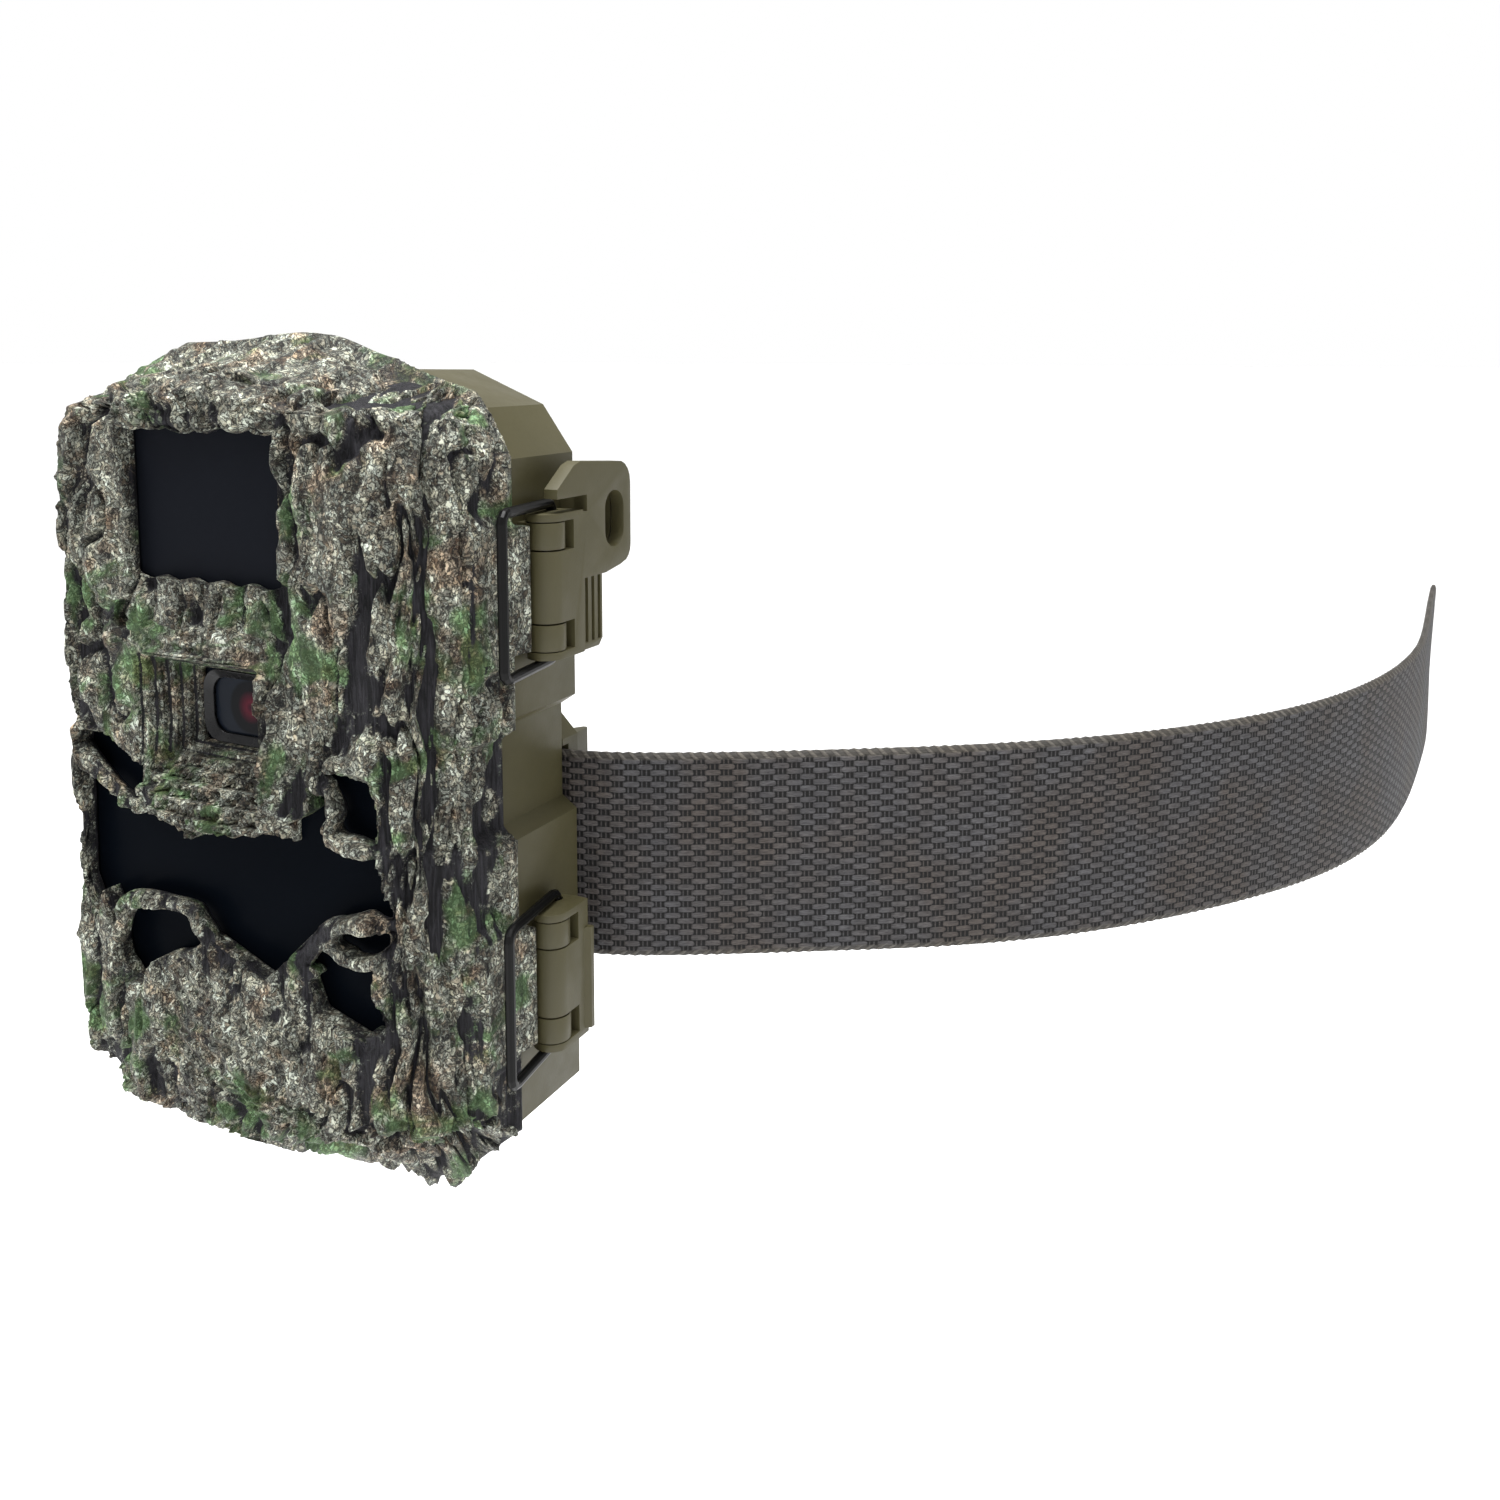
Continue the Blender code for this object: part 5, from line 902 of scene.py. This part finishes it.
def moulded_parts():
    """Copies of the CAD's moulded parts with rounded edges."""
    parts = (
        ("case_moulding", "rear_case", "rear", "olive", "olive_plastic", 0.6),
        ("upper_lever_moulding", "upper_lever", "upper_lever", "olive", "olive_plastic", 0.5),
        ("lower_lever_moulding", "lower_lever", "lower_lever", "olive", "olive_plastic", 0.5),
        ("buckle_body", "buckle_frame", "rear", "black_steel", "buckle_steel", 0.3),
        ("buckle_flap", "buckle_cam", "buckle_cam", "black_steel", "buckle_steel", 0.3),
    )
    for name, node, body, key, slot, width in parts:
        piece = tidy_copy(name, node)
        soften(piece, width)
        rides(paint(piece, key), body, slot, node)


FINISHES = {
    "tree_bracket": "olive",
    "ir_window": "ir",
    "pir_window": "panel",
    "light_sensor": "panel",
    "lens_window": "pane",
    "lens_glass": "optics",
    "ir_cut_filter": "optics",
    "upper_bail": "wire",
    "lower_bail": "wire",
    "case_seal": "rubber",
    "inner_panel": "inner",
    "battery_tray": "inner",
    "lens_barrel": "bezel",
    "lcd_screen": "screen",
    "led_board": "board",
    "image_board": "board",
    "main_board": "board",
    "tripod_insert": "brass",
    "sd_card": "card",
    "power_switch": "key",
}
PREFIXES = {
    "battery_": "cell",
    "button_": "key",
    "contact_strip": "brass",
    "bracket_screw": "steel",
    "hinge_pin": "steel",
    "upper_latch_pin": "steel",
    "lower_latch_pin": "steel",
    "buckle_pin": "steel",
    "pir_sensor": "steel",
    "sd_socket": "steel",
    "usb_socket": "steel",
}
ROUNDED = {"tree_bracket": 0.35, "upper_bail": 0.0, "lower_bail": 0.0, "lens_glass": 0.0}


def finish_nodes():
    """Materials and small edge bevels for the CAD nodes that stay."""
    for name, node in NODES.items():
        key = FINISHES.get(name)
        for prefix, finish in PREFIXES.items():
            if key is None and name.startswith(prefix):
                key = finish
        if key is None:
            continue
        for slot in range(max(1, len(node.material_slots))):
            if node.material_slots:
                node.material_slots[slot].material = MATERIALS[key]
        width = ROUNDED.get(name, 0.15)
        if width:
            soften(node, width, 2)


# ---------------------------------------------------------------- webbing strap

STRAP_T = 1.6
BAR_R, STRAP_CLEARANCE = 1.4, 0.3
BUCKLE_AT = np.array([-68.0, 4.5])
AWAY = np.array([-0.86, 0.51]) / math.hypot(0.86, 0.51)
SQUARE = np.array([-AWAY[1], AWAY[0]])


def buckle_point(along, across):
    return BUCKLE_AT + AWAY * along + SQUARE * across


def strap_route():
    """Centre line from above: round the buckle's bar, behind the case and away to the right."""
    loop_r = BAR_R + STRAP_CLEARANCE + STRAP_T / 2
    route = [buckle_point(-15, 2.6 - loop_r), buckle_point(-8, BAR_R - loop_r)]
    route += [buckle_point(0, -loop_r), buckle_point(loop_r, 0), buckle_point(0, loop_r)]
    route += [(-55, -4.5), (-45.5, -8.4), (-39, -8.9), (0, -8.9), (39, -8.9), (45.5, -8.4)]
    route += [(57, -3.8), (80, 9.5), (110, 29.5), (135, 52.5), (157, 82), (171, 113)]
    route += [(179, 150), (183, 200), (185, 259)]
    return smooth_line(route, 5)


def resample(line, spacing):
    """The same line with points an even distance apart, and their distances along it."""
    length = np.concatenate([[0], np.cumsum(np.linalg.norm(np.diff(line, axis=0), axis=1))])
    places = np.linspace(0, length[-1], int(round(length[-1] / spacing)) + 1)
    return np.stack([np.interp(places, length, line[:, k]) for k in (0, 1)], axis=1), places


def webbing_strap():
    """The strap as one thin closed band whose points carry their place in the weave."""
    low, high = box_mm("strap")
    half, middle = (high.z - low.z) / 2, (high.z + low.z) / 2
    line, places = resample(strap_route(), 1.0)
    along = np.gradient(line, axis=0)
    along /= np.linalg.norm(along, axis=1)[:, None]
    side = np.stack([-along[:, 1], along[:, 0]], axis=1)
    across = np.linspace(-half, half, 39)
    edge = np.abs(across) / half
    thick = STRAP_T / 2 * (1 - 0.55 * np.clip((edge - 0.94) / 0.06, 0, 1) ** 2)
    points, weave = [], []
    for face in (-1, 1):
        for spot, way, place in zip(line, side, places):
            ripple = 0.12 * math.sin(place * 2 * math.pi / 2.15)
            for v, t in zip(across, thick):
                sag = 0.25 * math.sin(place / 17.0 + v / 11.0)
                x, y = spot + way * (face * t + sag * min(1.0, max(0.0, (place - 150) / 40)))
                points.append((x, y, middle + v + ripple * (v / half) ** 24))
                weave.append((place, v, face))
    rows, count = len(places), len(across)
    faces = []
    for face in (0, 1):
        start = face * rows * count
        for i in range(rows - 1):
            for k in range(count - 1):
                a = start + i * count + k
                quad = (a, a + 1, a + count + 1, a + count)
                faces.append(quad if face else quad[::-1])
    back = rows * count
    for i in range(rows - 1):
        for k in (0, count - 1):
            a = i * count + k
            faces.append((a, a + count, a + count + back, a + back))
    for k in range(count - 1):
        for i in (0, rows - 1):
            a = i * count + k
            faces.append((a, a + 1, a + 1 + back, a + back))
    strap = new_object("strap_webbing", mesh_from("strap_webbing", points, faces))
    turn_outward(strap)
    layer = strap.data.attributes.new("weave", "FLOAT_VECTOR", "POINT")
    layer.data.foreach_set("vector", np.array(weave, np.float32).ravel())
    strap.data.polygons.foreach_set("use_smooth", [True] * len(strap.data.polygons))
    rides(paint(strap, "webbing"), "rear", "webbing", "strap")


# ---------------------------------------------------------------- stage, lights and camera


def area_light(name, place, target, size, power, colour=(1.0, 1.0, 1.0)):
    lamp = bpy.data.lights.new(name, "AREA")
    lamp.shape = "RECTANGLE"
    lamp.size, lamp.size_y = size
    lamp.energy = power
    lamp.color = colour
    obj = new_object(name, lamp)
    obj.location = place
    obj.rotation_euler = (Vector(target) - Vector(place)).to_track_quat("-Z", "Y").to_euler()
    return obj


def stage():
    """Plain floor, soft lights and a world that is bright along the horizon and overhead."""
    mesh = bpy.data.meshes.new("floor")
    reach, level = 30.0, -0.26
    corners = [(-reach, -reach, level), (reach, -reach, level), (reach, reach, level)]
    mesh.from_pydata([*corners, (-reach, reach, level)], [], [(0, 1, 2, 3)])
    floor = new_object("floor", mesh)
    g = Graph("floor_paper", Roughness=0.9, Specular_IOR_Level=0.1)
    cloud = g.noise(g.scaled((1.0, 1.0, 1.0)), 3.0, 2.0)
    floor.data.materials.append(
        g.finish(Base_Color=g.steps(cloud, [(0.3, (0.93, 0.93, 0.93)), (0.7, (0.95, 0.95, 0.95))]))
    )

    world = bpy.data.worlds.new("studio")
    bpy.context.scene.world = world
    world.use_nodes = True
    nodes, links = world.node_tree.nodes, world.node_tree.links
    place = nodes.new("ShaderNodeTexCoord")
    split = nodes.new("ShaderNodeSeparateXYZ")
    level = nodes.new("ShaderNodeValToRGB")
    links.new(place.outputs["Generated"], split.inputs["Vector"])
    links.new(split.outputs["Z"], level.inputs["Fac"])
    links.new(level.outputs["Color"], nodes["Background"].inputs["Color"])
    stops = [(0.0, 1.0), (0.26, 1.0), (0.45, 0.38), (0.78, 0.38), (0.86, 2.6)]
    elements = level.color_ramp.elements
    while len(elements) < len(stops):
        elements.new(1.0)
    for element, (position, value) in zip(elements, stops):
        element.position = position
        element.color = (value, value, value, 1.0)

    heart = (0.02, -0.02, 0.02)
    area_light("overhead", (0.05, -0.1, 1.1), heart, (0.6, 0.6), 17.0)
    area_light("key", (-0.6, -0.8, 1.0), heart, (0.4, 0.4), 6.5)


def camera():
    data = bpy.data.cameras.new("photo_camera")
    data.lens = 32.4
    data.sensor_width = 36.0
    data.shift_x, data.shift_y = 0.0273, -0.161
    obj = new_object("photo_camera", data)
    obj.location = (0.1742, -0.209, 0.091)
    obj.rotation_euler = (math.radians(83.3), 0.0, math.radians(27.2))
    bpy.context.scene.camera = obj


camera()
front_cover()
lens_bezel()
moulded_parts()
finish_nodes()
webbing_strap()
stage()
bpy.context.scene.view_settings.view_transform = "Standard"
